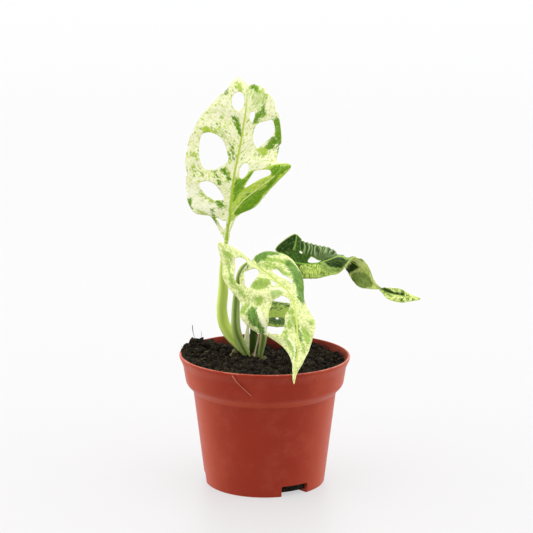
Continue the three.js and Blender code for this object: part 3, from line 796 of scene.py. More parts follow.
@dataclass(frozen=True)
class TerracottaFinish:
    """Terracotta-coloured satin plastic, faintly scuffed and dusty, with dirt on the upper body, a painted
    reflection at its grazing edges, a lip paler from wear and soil smears and from a painted highlight, and
    an inner wall darker towards the soil.
    """

    name: str = "terracotta_plastic"
    colour: Colour = srgb(144, 38, 11)
    deep: Colour = srgb(132, 32, 8)
    painted_edge_sheen: Colour = srgb(214, 92, 52)
    worn: Colour = srgb(176, 80, 56)
    dirt: Colour = srgb(70, 40, 30)
    pale: Colour = srgb(190, 116, 84)
    inner_wall_dark: Colour = srgb(62, 20, 11)

    def build(self, effects: SharedEffects) -> Material:
        """Make the material.

        Args:
            effects: The shared node groups.

        Returns:
            The material.
        """
        made = MaterialMaker(self.name, self.colour, self.colour, Specular_IOR_Level=0.22)
        graph = made.graph
        place, height, inside = graph.local(), graph.value("level"), graph.value("inside")
        broad = graph.cloud(graph.stretch(place, (1, 1, 0.35)), 26.0, 4.0, 0.55)
        made.lay(self.deep, graph.ramp(broad, 0.35, 0.7), 0.35)
        dust = graph.use(effects.dust, Place=place, Amount=0.3)["Mask"]
        made.lay(self.worn, dust)
        # Painted reflection: the edges that turn away from the camera are lightened, standing in for the
        # bright room reflected there.
        facing = graph.node("ShaderNodeLayerWeight", Blend=0.5).outputs["Facing"]
        made.lay(self.painted_edge_sheen, graph.ramp(facing, 0.12, 0.8, 0.0, 0.4))
        smears = graph.cloud(graph.stretch(place, (1, 1, 2.5)), 130.0, 4.0, 0.65)
        # The lip's top is paler: partly wear and soil smears, partly a painted highlight along the rolled
        # lip.
        made.lay(self.pale, graph.ramp(height, 90.2, 90.9), graph.ramp(smears, 0.4, 0.62, 0.0, 0.7))
        splash = graph.ramp(graph.cloud(place, 420.0, 2.0, 0.6), 0.7, 0.76)
        made.lay(self.dirt, splash, graph.ramp(height, 70.0, 88.0))
        made.lay(self.dirt, graph.ramp(smears, 0.62, 0.74), graph.ramp(height, 84.0, 90.0, 0.0, 0.65))
        # The inner wall darkens towards the soil, unevenly.
        inner_wall_darkening = graph.math("ADD", graph.ramp(height, 91.0, 85.0, 0.3, 0.75),
                            graph.ramp(smears, 0.3, 0.7, -0.2, 0.3))
        made.lay(self.inner_wall_dark, inner_wall_darkening, inside, clamp=True)
        grain = graph.use(effects.fine_grain, Place=place, Scale=1600.0)
        rough = graph.math("MULTIPLY_ADD", inside, 0.4, graph.math("MULTIPLY_ADD", grain["Wear"], 0.16, 0.3))
        rough = graph.math("ADD", rough, graph.math("MULTIPLY", dust, 0.5))
        return made.close(rough, grain["Height"], 0.00005, 0.5)


@dataclass(frozen=True)
class EarthFinish:
    """Damp peat, crumbs or fibres: dark, broken up and rough."""

    name: str
    dark: Colour
    brown: Colour
    pale: Colour
    grain_scale: float = 700.0
    pale_share: float = 0.25
    dry: float = 0.72
    clod_scale: float = 210.0
    clod_share: float = 0.75

    def build(self, effects: SharedEffects) -> Material:
        """Make the material.

        Args:
            effects: The shared node groups.

        Returns:
            The material.
        """
        made = MaterialMaker(self.name, self.brown, self.dark, Specular_IOR_Level=0.05)
        graph = made.graph
        place = graph.local()
        made.lay(self.brown, graph.ramp(graph.cloud(place, self.grain_scale, 4.0, 0.65), 0.38, 0.66))
        broad = graph.cloud(place, self.clod_scale, 3.0, 0.55)
        made.lay(self.dark, graph.ramp(broad, 0.58, 0.42, 0.0, self.clod_share))
        threads = graph.cloud(graph.stretch(place, (1, 0.3, 1)), self.grain_scale * 1.6, 3.0, 0.6, 0.8)
        made.lay(self.pale, graph.ramp(threads, 0.6, 0.72), self.pale_share)
        grain = graph.use(effects.fine_grain, Place=place, Scale=self.grain_scale * 2.0)
        rough = graph.math("MULTIPLY_ADD", grain["Wear"], 0.3, self.dry - 0.1)
        return made.close(rough, grain["Height"], 0.0003, 0.8)


@dataclass(frozen=True)
class DryFinish:
    """Dry papery or strawy tissue with fine threads along it."""

    name: str
    colour: Colour
    shade: Colour
    thread: Colour
    glow: float = 0.15

    def build(self, effects: SharedEffects) -> Material:
        """Make the material.

        Args:
            effects: The shared node groups.

        Returns:
            The material.
        """
        made = MaterialMaker(
            self.name, self.colour, self.colour, Subsurface_Weight=self.glow,
            Subsurface_Radius=(1.0, 0.8, 0.5), Subsurface_Scale=0.0008)
        graph = made.graph
        place = graph.stretch(graph.local(), (1, 1, 0.16))
        threads = graph.cloud(place, 900.0, 4.0, 0.6)
        made.lay(self.shade, graph.ramp(threads, 0.4, 0.65))
        made.lay(self.thread, graph.ramp(graph.cloud(graph.local(), 160.0, 3.0, 0.6), 0.52, 0.7), 0.6)
        wear = graph.use(effects.fine_grain, Place=place, Scale=1500.0)["Wear"]
        return made.close(graph.math("MULTIPLY_ADD", wear, 0.2, 0.5), threads, 0.00012, 0.6)


# The leaves' plans, the same that the solids follow.


class Tone(Enum):
    """What a colour stroke on a leaf leaves behind."""

    DEEP = "deep"
    MID = "mid"
    GREY = "grey"
    CLEAR = "clear"
    LINE = "line"


DEEP, MID, GREY, CLEAR, LINE = Tone


@dataclass(frozen=True)
class Stroke:
    """A band of colour on a leaf: its tone, half its width in mm, and its line of [along, across]."""

    tone: Tone
    half_width: float
    line: tuple[Spot, ...]


@dataclass(frozen=True)
class Patch:
    """An area of colour on a leaf: its tone and its closed outline of [along, across]."""

    tone: Tone
    outline: tuple[Spot, ...]


@dataclass(frozen=True)
class Station:
    """Points on the midrib and on both margins, and how each half arches and sweeps."""

    rib: Point
    left: Point
    right: Point
    lift: Spot = (0, 0)
    sweep: Spot = (0, 0)


@dataclass(frozen=True)
class LeafPlan:
    """A leaf's stations from base to tip, its openings of [along, across] and its colours."""

    rib_radius: float
    veins: int
    pucker: float
    ruffle: float
    ruffles: int
    stations: tuple[Station, ...]
    openings: tuple[tuple[Spot, ...], ...] = ()
    strokes: tuple[Stroke, ...] = ()
    patches: tuple[Patch, ...] = ()


def spots(*values: int) -> tuple[Spot, ...]:
    """Pair up places on a leaf, each in thousandths along it and hundredths across a half of it."""
    return tuple((along / 1000, across / 100) for along, across in zip(values[::2], values[1::2]))


def stroke(tone: Tone, half_width: float, *values: int) -> Stroke:
    """Make a band of colour along places written as spots() takes them."""
    return Stroke(tone, half_width, spots(*values))


def patch(tone: Tone, *values: int) -> Patch:
    """Make an area of colour inside places written as spots() takes them."""
    return Patch(tone, spots(*values))


TALL_LEAF = LeafPlan(
    rib_radius=1.15, veins=8, pucker=0.5, ruffle=0.5, ruffles=5,
    stations=(
        Station((-27, 20, 169), (-29, 20, 169.5), (-25, 20, 169.5)),
        Station((-26, 20, 176), (-34, 20, 180.5), (-23.5, 19, 178.5), (0, 0), (-1, 0)),
        Station((-24.5, 20, 185), (-39.5, 19, 187.5), (-18.5, 18, 187.5), (0, 0), (-3, 0)),
        Station((-24, 20.5, 193.5), (-49.5, 18, 190), (-6, 15, 195), (1, 1), (-3, 1)),
        Station((-23, 21, 202), (-55, 18, 201), (6.5, 13, 210), (1.5, 2), (-1, 2)),
        Station((-22, 22, 211), (-55, 19, 212), (18.5, 12, 224), (2, 2), (2, 3)),
        Station((-20.5, 23, 220), (-55.5, 20, 225), (8.5, 18, 227), (2, 2), (3, 2)),
        Station((-18.5, 24, 229.5), (-54, 21, 236.5), (11.5, 22, 237), (2, 2), (3, 3)),
        Station((-16.5, 25, 239.5), (-50, 23, 247.5), (11.5, 24, 246.5), (2, 2), (4, 4)),
        Station((-15, 26, 249), (-43.5, 25, 258.5), (10, 26, 257), (2, 2), (5, 4)),
        Station((-13.5, 27, 258), (-34.5, 27, 268), (6.5, 28, 267), (2, 2), (5, 4)),
        Station((-12.5, 29, 266.5), (-25.5, 30, 277.5), (1, 30, 274.5), (1.5, 2), (4, 3)),
        Station((-12.5, 31, 272.5), (-20, 34, 282.5), (-5.5, 33, 278.5), (1, 1), (3, 2)),
        Station((-13.5, 33, 275.5), (-16.5, 36, 283), (-11, 35, 277)),
    ),
    openings=(
        spots(600, -78, 610, -58, 590, -37, 550, -25, 490, -18, 440, -38, 435, -60, 475, -72, 550, -78),
        spots(370, -72, 380, -53, 355, -34, 295, -17, 285, -28, 305, -50, 340, -65),
        spots(820, -56, 855, -38, 855, -17, 815, -10, 765, -18, 755, -36, 785, -53),
        spots(670, 37, 675, 62, 670, 80, 610, 82, 575, 67, 545, 45, 585, 31, 635, 29),
        spots(480, 20, 460, 32, 415, 26, 385, 17, 400, 10, 455, 11),
        spots(405, 36, 402, 48, 390, 60, 360, 68, 350, 55, 335, 40, 325, 28, 350, 27),
        spots(755, 16, 745, 31, 710, 29, 695, 22, 725, 16),
        spots(165, -53, 147, -36, 140, -17, 100, -19, 82, -34, 102, -57, 150, -62),
    ),
    strokes=(
        stroke(DEEP, 0.9, 300, 89, 340, 86), stroke(MID, 1, 850, 60, 870, 61),
        stroke(DEEP, 1, 535, -21, 515, -18), stroke(DEEP, 1.2, 440, -24, 420, -15, 395, -10),
        stroke(DEEP, 0.8, 430, -40, 385, -33, 370, -26), stroke(DEEP, 1.8, 275, -29, 255, -22),
        stroke(DEEP, 0.7, 845, -100, 810, -84), stroke(MID, 1, 450, -86, 430, -80),
        stroke(MID, 1.4, 895, -58, 865, -42), stroke(MID, 1, 245, -84, 210, -74),
        stroke(MID, 1, 325, -69, 285, -44), stroke(MID, 1, 505, -84, 485, -80),
        stroke(DEEP, 0.8, 575, -17, 515, -8), stroke(LINE, 0.4, 180, 20, 260, 38, 300, 62, 345, 80),
    ),
    patches=(
        patch(CLEAR, 370, -110, 340, -69, 310, -38, 247, -32, 195, -60, 220, -110),
        patch(MID, 162, 10, 255, 2, 338, 0, 397, 1, 398, 15, 417, 32, 403, 47, 417, 66, 420, 90, 390, 112,
            360, 98, 308, 112, 268, 96, 210, 112, 172, 112, 145, 56),
        patch(DEEP, 302, 4, 368, 2, 387, 9, 378, 21, 400, 28, 405, 37, 390, 35, 363, 28, 345, 25, 330, 24,
            322, 29, 315, 22, 297, 15, 253, 9),
        patch(DEEP, 185, 24, 227, 27, 263, 34, 287, 40, 290, 53, 298, 62, 318, 66, 327, 69, 305, 72, 298,
            70, 310, 79, 330, 77, 342, 79, 348, 88, 333, 91, 305, 95, 273, 93, 238, 97, 205, 112, 173, 112,
            165, 63),
        patch(DEEP, 385, 61, 405, 71, 408, 80, 390, 88, 383, 112, 368, 96, 355, 92, 348, 87, 350, 77, 363,
            67),
        patch(DEEP, 668, 80, 690, 90, 685, 96, 670, 112, 628, 112, 573, 112, 527, 112, 497, 112, 478, 112,
            507, 97, 540, 92, 575, 87, 592, 82, 608, 84, 628, 80, 652, 82),
        patch(DEEP, 557, 64, 573, 70, 588, 82, 573, 90, 545, 90, 523, 82, 520, 72, 542, 62),
        patch(MID, 530, 46, 545, 54, 528, 67, 510, 76, 495, 71, 502, 58, 515, 50),
        patch(DEEP, 688, 25, 720, 28, 740, 40, 745, 53, 773, 62, 760, 66, 732, 64, 707, 60, 702, 46, 680,
            36),
        patch(GREY, 1000, 43, 958, 71, 913, 87, 853, 84, 810, 82, 777, 73, 770, 61, 747, 49, 738, 38, 780,
            34, 832, 27, 900, 17),
        patch(DEEP, 948, 51, 912, 84, 867, 68, 848, 54, 885, 47, 912, 36),
        patch(DEEP, 715, -30, 718, -20, 702, -12, 678, -5, 652, -1, 630, -2, 648, -8, 668, -16, 693, -24),
        patch(MID, 630, -84, 637, -76, 628, -63, 627, -53, 613, -52, 612, -60, 610, -72, 605, -78),
        patch(GREY, 632, -56, 633, -45, 622, -36, 603, -31, 598, -36, 610, -46, 615, -53),
        patch(DEEP, 295, -98, 303, -91, 285, -90, 265, -95, 253, -95, 258, -112, 278, -112),
        patch(DEEP, 250, -49, 228, -47, 140, -70, 100, -75, 72, -112, 100, -112, 187, -64, 230, -53),
        patch(GREY, 833, -33, 855, -24, 858, -15, 832, -11, 813, -18, 815, -29),
    ),
)

FRONT_LEAF = LeafPlan(
    rib_radius=1.1, veins=8, pucker=0.7, ruffle=0.6, ruffles=5,
    stations=(
        Station((-10, 5, 157), (-8.5, 6, 158.5), (-10.5, 6.5, 159)),
        Station((-6, 2, 154.5), (-5.5, 9, 161.5), (-20, 14, 165), (1, 1)),
        Station((-2, -1, 152.5), (1.5, 11, 164), (-32, 16, 169), (2, 2), (-2, -3)),
        Station((2.5, -5, 150.5), (11, 9, 162.5), (-32, 13, 162.5), (3, 3), (0, -4)),
        Station((6.5, -9, 148), (19, 6, 159), (-30, 8, 155), (3, 3), (0, -3)),
        Station((11, -14, 145.5), (24, 0, 154), (-29, 2, 146.5), (4, 3), (1, -2)),
        Station((15.5, -19, 142.5), (26.5, -7, 146.5), (-23.5, -4, 138.5), (4, 4), (1, -1)),
        Station((19, -25, 138), (27.5, -15, 136.5), (-17, -10, 131.5), (4, 4), (1, 0)),
        Station((21, -32, 132), (31.5, -24, 128.5), (-16.5, -16, 123), (3, 4), (1, 0)),
        Station((22, -39, 124.5), (34.5, -31, 122.5), (-7.5, -22, 114.5), (3, 4), (1, 1)),
        Station((22.5, -46, 116.5), (33.5, -39, 115), (2.5, -29, 112), (3, 3), (1, 1)),
        Station((22.5, -54, 109), (30, -49, 107.5), (13, -42, 108.5), (2, 2)),
        Station((21, -60.5, 101), (25.5, -58, 101), (18, -54, 102), (1, 1)),
        Station((20.5, -64.5, 94.5), (22, -63, 95.5), (18.5, -62, 94.5)),
        Station((20, -67, 89), (20, -66.5, 89.5), (19.5, -66.5, 89.5)),
    ),
    openings=(
        spots(225, 64, 160, 40, 180, 34, 250, 44, 300, 58, 340, 66, 395, 76, 380, 80, 330, 76, 280, 72),
        spots(290, 48, 235, 24, 280, 26, 350, 40, 395, 56, 420, 66, 400, 68, 355, 60, 310, 56),
        spots(235, -20, 255, -32, 325, -34, 410, -44, 395, -32, 310, -20, 255, -16),
        spots(335, 12, 320, 8, 370, 8, 385, 18),
        spots(510, 38, 490, 24, 480, 14, 510, 6, 560, 10, 600, 20, 645, 28, 690, 46, 695, 66, 680, 76, 650,
            72, 610, 54, 550, 44),
    ),
    strokes=(
        stroke(DEEP, 1, 660, 1, 705, -17, 740, -26), stroke(MID, 1.4, 560, 12, 585, 9),
        stroke(MID, 1, 680, 34, 705, 34), stroke(MID, 1, 760, -43, 795, -66),
        stroke(MID, 1.4, 345, 84, 400, 86), stroke(MID, 1, 415, 84, 460, 87),
        stroke(MID, 1, 195, 86, 210, 85), stroke(MID, 1, 220, 75, 235, 74),
        stroke(MID, 1, 270, 85, 305, 86), stroke(MID, 1, 180, -62, 230, -62),
        stroke(MID, 1, 165, -39, 225, -40), stroke(CLEAR, 2.1, 735, 36, 800, 35),
        stroke(CLEAR, 1, 420, 27, 415, 10, 450, 1),
    ),
    patches=(
        patch(DEEP, 12, -112, 75, -98, 117, -112, 158, -112, 193, -112, 223, -97, 203, -85, 177, -76, 160,
            -62, 152, -46, 120, -36, 72, -32),
        patch(DEEP, 267, -76, 283, -88, 313, -91, 362, -94, 410, -112, 452, -112, 488, -112, 527, -84, 530,
            -72, 523, -50, 505, -39, 468, -47, 447, -56, 400, -50, 365, -56, 322, -60, 290, -65),
        patch(DEEP, 542, 84, 533, 77, 543, 70, 573, 68, 603, 70, 662, 81, 697, 112, 673, 98, 635, 86, 615,
            90, 598, 90, 573, 88),
        patch(MID, 533, 112, 517, 91, 507, 84, 523, 82, 537, 88, 555, 92, 558, 96),
        patch(MID, 488, 68, 477, 55, 492, 54, 520, 60, 530, 66, 512, 70),
        patch(MID, 400, 57, 360, 40, 328, 23, 330, 13, 387, 23, 423, 38, 432, 50, 425, 58),
        patch(GREY, 452, 31, 433, 19, 447, 12, 472, 17, 488, 28, 492, 36),
        patch(DEEP, 337, 68, 307, 64, 272, 54, 238, 42, 253, 42, 288, 52, 318, 59, 342, 64, 347, 68),
        patch(DEEP, 682, 2, 673, -8, 700, -23, 733, -30, 747, -20, 715, -6),
        patch(DEEP, 775, 10, 767, 2, 800, -2, 838, 0, 820, 14),
        patch(MID, 632, 19, 625, 12, 650, 10, 670, 16, 658, 21),
        patch(MID, 637, -66, 628, -86, 652, -86, 655, -72),
        patch(MID, 123, -60, 242, -72, 315, -81, 322, -72, 240, -57, 140, -44),
        patch(MID, 80, -15, 178, -33, 277, -43, 362, -52, 352, -39, 260, -28, 170, -17),
        patch(MID, 560, 5, 605, 2, 653, -7, 687, 0, 650, 7, 592, 10),
        patch(MID, 665, -34, 683, -66, 722, -85, 757, -75, 728, -45, 693, -31),
        patch(MID, 710, 38, 750, 30, 797, 26, 827, 36, 793, 60, 753, 53),
        patch(MID, 208, 88, 187, 75, 198, 68, 235, 75, 237, 85),
        patch(MID, 333, 86, 338, 80, 385, 84, 397, 91, 372, 89),
        patch(MID, 427, 81, 442, 79, 473, 84, 477, 90, 452, 88),
        patch(CLEAR, 538, 68, 545, 63, 577, 59, 613, 60, 660, 70, 700, 92, 680, 90, 618, 72, 578, 68, 553,
            69),
    ),
)

SIDE_LEAF = LeafPlan(
    rib_radius=0.9, veins=9, pucker=1, ruffle=0.4, ruffles=6,
    stations=(
        Station((16, 18, 155), (15.4, 19.4, 157), (16.6, 16.5, 153.4)),
        Station((18.5, 17.5, 154.5), (7.5, 24, 162.5), (18, 11, 149.5), (0, 0), (-2, -2)),
        Station((23, 17, 153.5), (21, 32, 171.5), (24, 5, 145.5), (-2, 2), (-3, -1)),
        Station((28.5, 16, 153), (27.5, 36, 165), (31, 2, 146), (2, 3)),
        Station((35.5, 14, 153.5), (36.5, 36, 163), (38.5, 0, 147), (3, 3)),
        Station((42.5, 12, 156), (45, 34, 161), (45.5, -1, 149), (3, 3)),
        Station((49.5, 10, 159), (52, 29, 157), (52, -3, 151.5), (3, 3)),
        Station((55.5, 9, 160), (57, 22, 149.5), (57, -4, 157), (4, 3)),
        Station((61, 9, 157), (61, 15, 142.5), (62, -2, 162), (3, 2)),
        Station((67.5, 9, 152), (67, 9, 138), (68.5, 0, 160), (2, 2)),
        Station((73, 8, 145.5), (73, 5, 138), (74, 2, 150.5), (1, 1)),
        Station((79, 5, 139.5), (78, 5, 137.5), (78.5, 3, 141.5)),
        Station((86.5, 1, 135.5), (86, 5, 139), (85.5, -4, 133), (1, 1)),
        Station((94.5, -4, 135), (95.5, 1, 138.5), (94, -10, 132), (1, 1)),
        Station((102, -8, 135), (102.5, -6, 136.5), (101.5, -12, 133)),
        Station((108, -12, 135), (108, -11.5, 135.5), (108, -12.5, 134.5)),
    ),
    openings=(
        spots(220, -12, 240, -26, 255, -29, 280, -19, 305, -10, 280, -7, 245, -6, 230, -7),
        spots(170, -46, 180, -52, 190, -48, 185, -42, 180, -41),
    ),
    strokes=(
        stroke(LINE, 0.6, 147, -100, 148, -88, 147, -74, 142, -60, 130, -47),
        stroke(DEEP, 0.5, 535, -93, 560, -100, 600, -100, 640, -97),
        stroke(DEEP, 1.1, 775, -95, 790, -60, 802, -34, 833, -22, 867, -24, 883, -19),
        stroke(MID, 1.2, 577, 97, 600, 90), stroke(MID, 1, 170, 50, 260, 39),
        stroke(MID, 0.7, 150, 75, 305, 87), stroke(DEEP, 0.5, 140, 98, 300, 100),
        stroke(CLEAR, 1.5, 340, 97, 400, 97, 460, 97, 500, 95, 560, 95),
    ),
    patches=(
        patch(DEEP, 65, -112, 93, -112, 113, -112, 135, -112, 147, -98, 148, -76, 138, -50, 115, -43, 92,
            -53, 68, -76),
        # The far half's grey patch is partly its grey-green colour and partly a painted highlight on its
        # glossy wrinkles.
        patch(GREY, 218, -87, 248, -112, 288, -112, 320, -112, 380, -112, 422, -50, 367, -17, 323, -5, 287,
            -16, 258, -28, 238, -52),
        patch(CLEAR, 155, 23, 220, 3, 278, 7, 303, 32, 318, 75, 357, 90, 357, 112, 303, 112, 242, 112, 172,
            112, 160, 65),
        patch(MID, 308, 9, 368, -6, 427, -27, 490, 27, 505, 96, 460, 112, 412, 97, 363, 94, 322, 82, 302,
            57),
        patch(DEEP, 323, -2, 368, -8, 428, -5, 467, 48, 490, 78, 450, 90, 413, 84, 387, 70, 352, 50, 335,
            27),
        patch(CLEAR, 757, 112, 783, -46, 832, -44, 873, -34, 922, -92, 1000, -112, 943, 112, 875, 112, 823,
            112, 787, 112),
        patch(DEEP, 737, 112, 778, -75, 825, -48, 877, -36, 868, -14, 818, -12, 775, 22, 757, 112),
        patch(CLEAR, 500, -120, 600, -120, 800, -120, 1000, -120, 1020, 0, 1000, 120, 800, 120, 660, 120,
            600, 100, 600, 50, 560, 10, 520, -30),
        patch(MID, 528, -82, 540, -96, 565, -110, 600, -110, 675, -86, 700, -40, 687, 30, 640, 4, 577,
            -38),
        # Painted shadow: a dark triangle on the far half's underside beside the twist, where the near half
        # shades it.
        patch(DEEP, 478, -105, 495, -74, 520, -30, 542, 10, 567, 7, 592, 0, 570, -25, 552, -48, 512, -88),
    ),
)

SMALL_LEAF = LeafPlan(
    rib_radius=0.7, veins=5, pucker=0.4, ruffle=0.4, ruffles=3,
    stations=(
        Station((-2, 2, 114.5), (-2.5, 2.8, 115.3), (-1.5, 1.2, 114)),
        Station((0, 2, 117.5), (-5.5, 8, 124), (-2, -4, 113.5), (0, 0), (-1, -1)),
        Station((4.5, 1, 119.5), (1, 12, 126.5), (3, -7, 114), (1, 1)),
        Station((9.5, 0, 120), (8.5, 13, 127), (9.5, -9, 114), (1, 1)),
        Station((14.5, -1, 120), (16.5, 11, 126), (15, -9, 114.5), (1, 1)),
        Station((18.5, -2, 119.5), (22, 7, 123.5), (20, -8, 116.5), (1, 1)),
        Station((24, -4, 119), (24.5, -3.5, 119.3), (24, -4.5, 118.5)),
    ),
    openings=(
        spots(450, 20, 500, 19, 510, 34, 460, 35),
    ),
    strokes=(
        stroke(DEEP, 1, 385, -78, 545, -85, 680, -75), stroke(DEEP, 0.7, 340, -45, 565, -42),
        stroke(DEEP, 2.8, 320, 52, 635, 55),
    ),
)

SHEATH_LEAF = LeafPlan(
    rib_radius=0, veins=0, pucker=0, ruffle=0, ruffles=0,
    stations=(
        Station((-13.2, 14.6, 87), (-13.5, 18, 87), (-11, 13.6, 87), (0.6, 0.6)),
        Station((-14.2, 15.4, 98), (-14, 20.5, 97.5), (-10.8, 14.5, 97.5), (1, 1)),
        Station((-13, 17.2, 105), (-13, 20.6, 104.5), (-11, 16.6, 104.5), (0.6, 0.6)),
        Station((-11.6, 19.4, 111.5), (-11.8, 20.2, 111.3), (-11, 19, 111.3)),
    ),
)


# The leaves.


class LeafSurface:
    """The smooth surface of a leaf, lofted through its stations as its solid is."""

    def __init__(self, plan: LeafPlan) -> None:
        """Lay the five rails of a leaf's plan and measure them.

        Args:
            plan: The leaf's plan.
        """
        self.plan = plan
        ribs = np.array([station.rib for station in plan.stations], float)
        arches = [self.arch_points(station, ribs, i) for i, station in enumerate(plan.stations)]
        self.rib = SmoothCurve(ribs)
        edges = [(station.left, station.right) for station in plan.stations]
        self.edges = {side: SmoothCurve([pair[half] for pair in edges]) for half, side in enumerate((-1, 1))}
        self.arches = {side: SmoothCurve([pair[half] for pair in arches])
                       for half, side in enumerate((-1, 1))}
        self.shares = np.linspace(0, 1, 801)
        rails = [self.rib.at(self.shares), *(edge.at(self.shares) for edge in self.edges.values())]
        steps = np.max([np.linalg.norm(np.diff(rail, axis=0), axis=1) for rail in rails], axis=0)
        self.lengths = np.concatenate([[0], np.cumsum(steps)])
        self.length = float(self.lengths[-1])
        self.widths = {side: self.half_widths(side) for side in (-1, 1)}

    @staticmethod
    def arch_points(station: Station, ribs: Array, i: int) -> list[Array]:
        """Give the points that arch and sweep the two halves at a station.

        Args:
            station: The station.
            ribs: All points of the midrib.
            i: The station's number.

        Returns:
            The control points of the left and the right half.
        """
        forward = unit(ribs[min(i + 1, len(ribs) - 1)] - ribs[max(i - 1, 0)])
        across = unit(np.subtract(station.right, station.left).astype(float))
        up = unit(np.cross(across, forward))
        return [
            (np.array(edge, float) + ribs[i]) / 2 + up * station.lift[half] + forward * station.sweep[half]
            for half, edge in enumerate((station.left, station.right))
        ]

    def half_widths(self, side: int) -> Array:
        """Measure how wide one half is along the leaf.

        Args:
            side: Its side, -1 or 1.

        Returns:
            The width at each share.
        """
        rows = np.array([self.smooth(self.shares, np.full_like(self.shares, side * reach))
                         for reach in np.linspace(0, 1, 9)])
        return np.maximum(np.linalg.norm(np.diff(rows, axis=0), axis=2).sum(0), 0.35)

    def smooth(self, along: Array, across: Array) -> Array:
        """Give places on the smooth surface.

        Args:
            along: Shares from the base to the tip.
            across: Shares from the left margin, -1, to the right one, 1.

        Returns:
            The places in millimetres.
        """
        reach = np.abs(across)[:, None]
        left = (across < 0)[:, None]
        arch, edge = (np.where(left, rails[-1].at(along), rails[1].at(along))
                      for rails in (self.arches, self.edges))
        return self.rib.at(along) * (1 - reach) ** 2 + arch * 2 * reach * (1 - reach) + edge * reach ** 2

    def normal(self, along: Array, across: Array) -> Array:
        """Give the unit directions that the upper side faces.

        Args:
            along: Shares from the base to the tip.
            across: Shares across.

        Returns:
            The directions.
        """
        step, stride = 0.004, 0.04
        forward = (self.smooth(np.minimum(along + step, 1), across)
                   - self.smooth(np.maximum(along - step, 0), across))
        sideways = (self.smooth(along, np.minimum(across + stride, 1))
                    - self.smooth(along, np.maximum(across - stride, -1)))
        return unit(np.cross(sideways, forward))

    def relief(self, along: Array, across: Array) -> Array:
        """Give how far the surface swells between its veins and waves at its margins.

        Args:
            along: Shares from the base to the tip.
            across: Shares across.

        Returns:
            The swelling in millimetres.
        """
        plan, reach, turn = self.plan, np.abs(across), 2 * np.pi * along
        vein_phase = np.where(across < 0, 0.0, 1.5)
        wave_phase = np.where(across < 0, 0.5, 2.2)
        swell = plan.pucker * np.cos(plan.veins * turn + vein_phase) * 4 * reach * (1 - reach)
        wave = plan.ruffle * np.sin(plan.ruffles * turn + wave_phase) * reach ** 3
        return np.sqrt(np.clip(np.sin(np.pi * along), 0, 1)) * (swell + wave)

    def wide(self, along: Array, across: Array) -> Array:
        """Give the width of the half that each place lies on."""
        left, right = (np.interp(along, self.shares, self.widths[side]) for side in (-1, 1))
        return np.where(across < 0, left, right)

    def to_plane(self, along: Array, across: Array) -> Array:
        """Lay places of the leaf out flat, in millimetres."""
        return np.column_stack([np.interp(along, self.shares, self.lengths),
                                across * self.wide(along, across)])

    def from_plane(self, flat: Array) -> tuple[Array, Array]:
        """Turn flat places back into shares along and across."""
        along = np.interp(flat[:, 0], self.lengths, self.shares)
        return along, np.clip(flat[:, 1] / self.wide(along, flat[:, 1]), -1, 1)


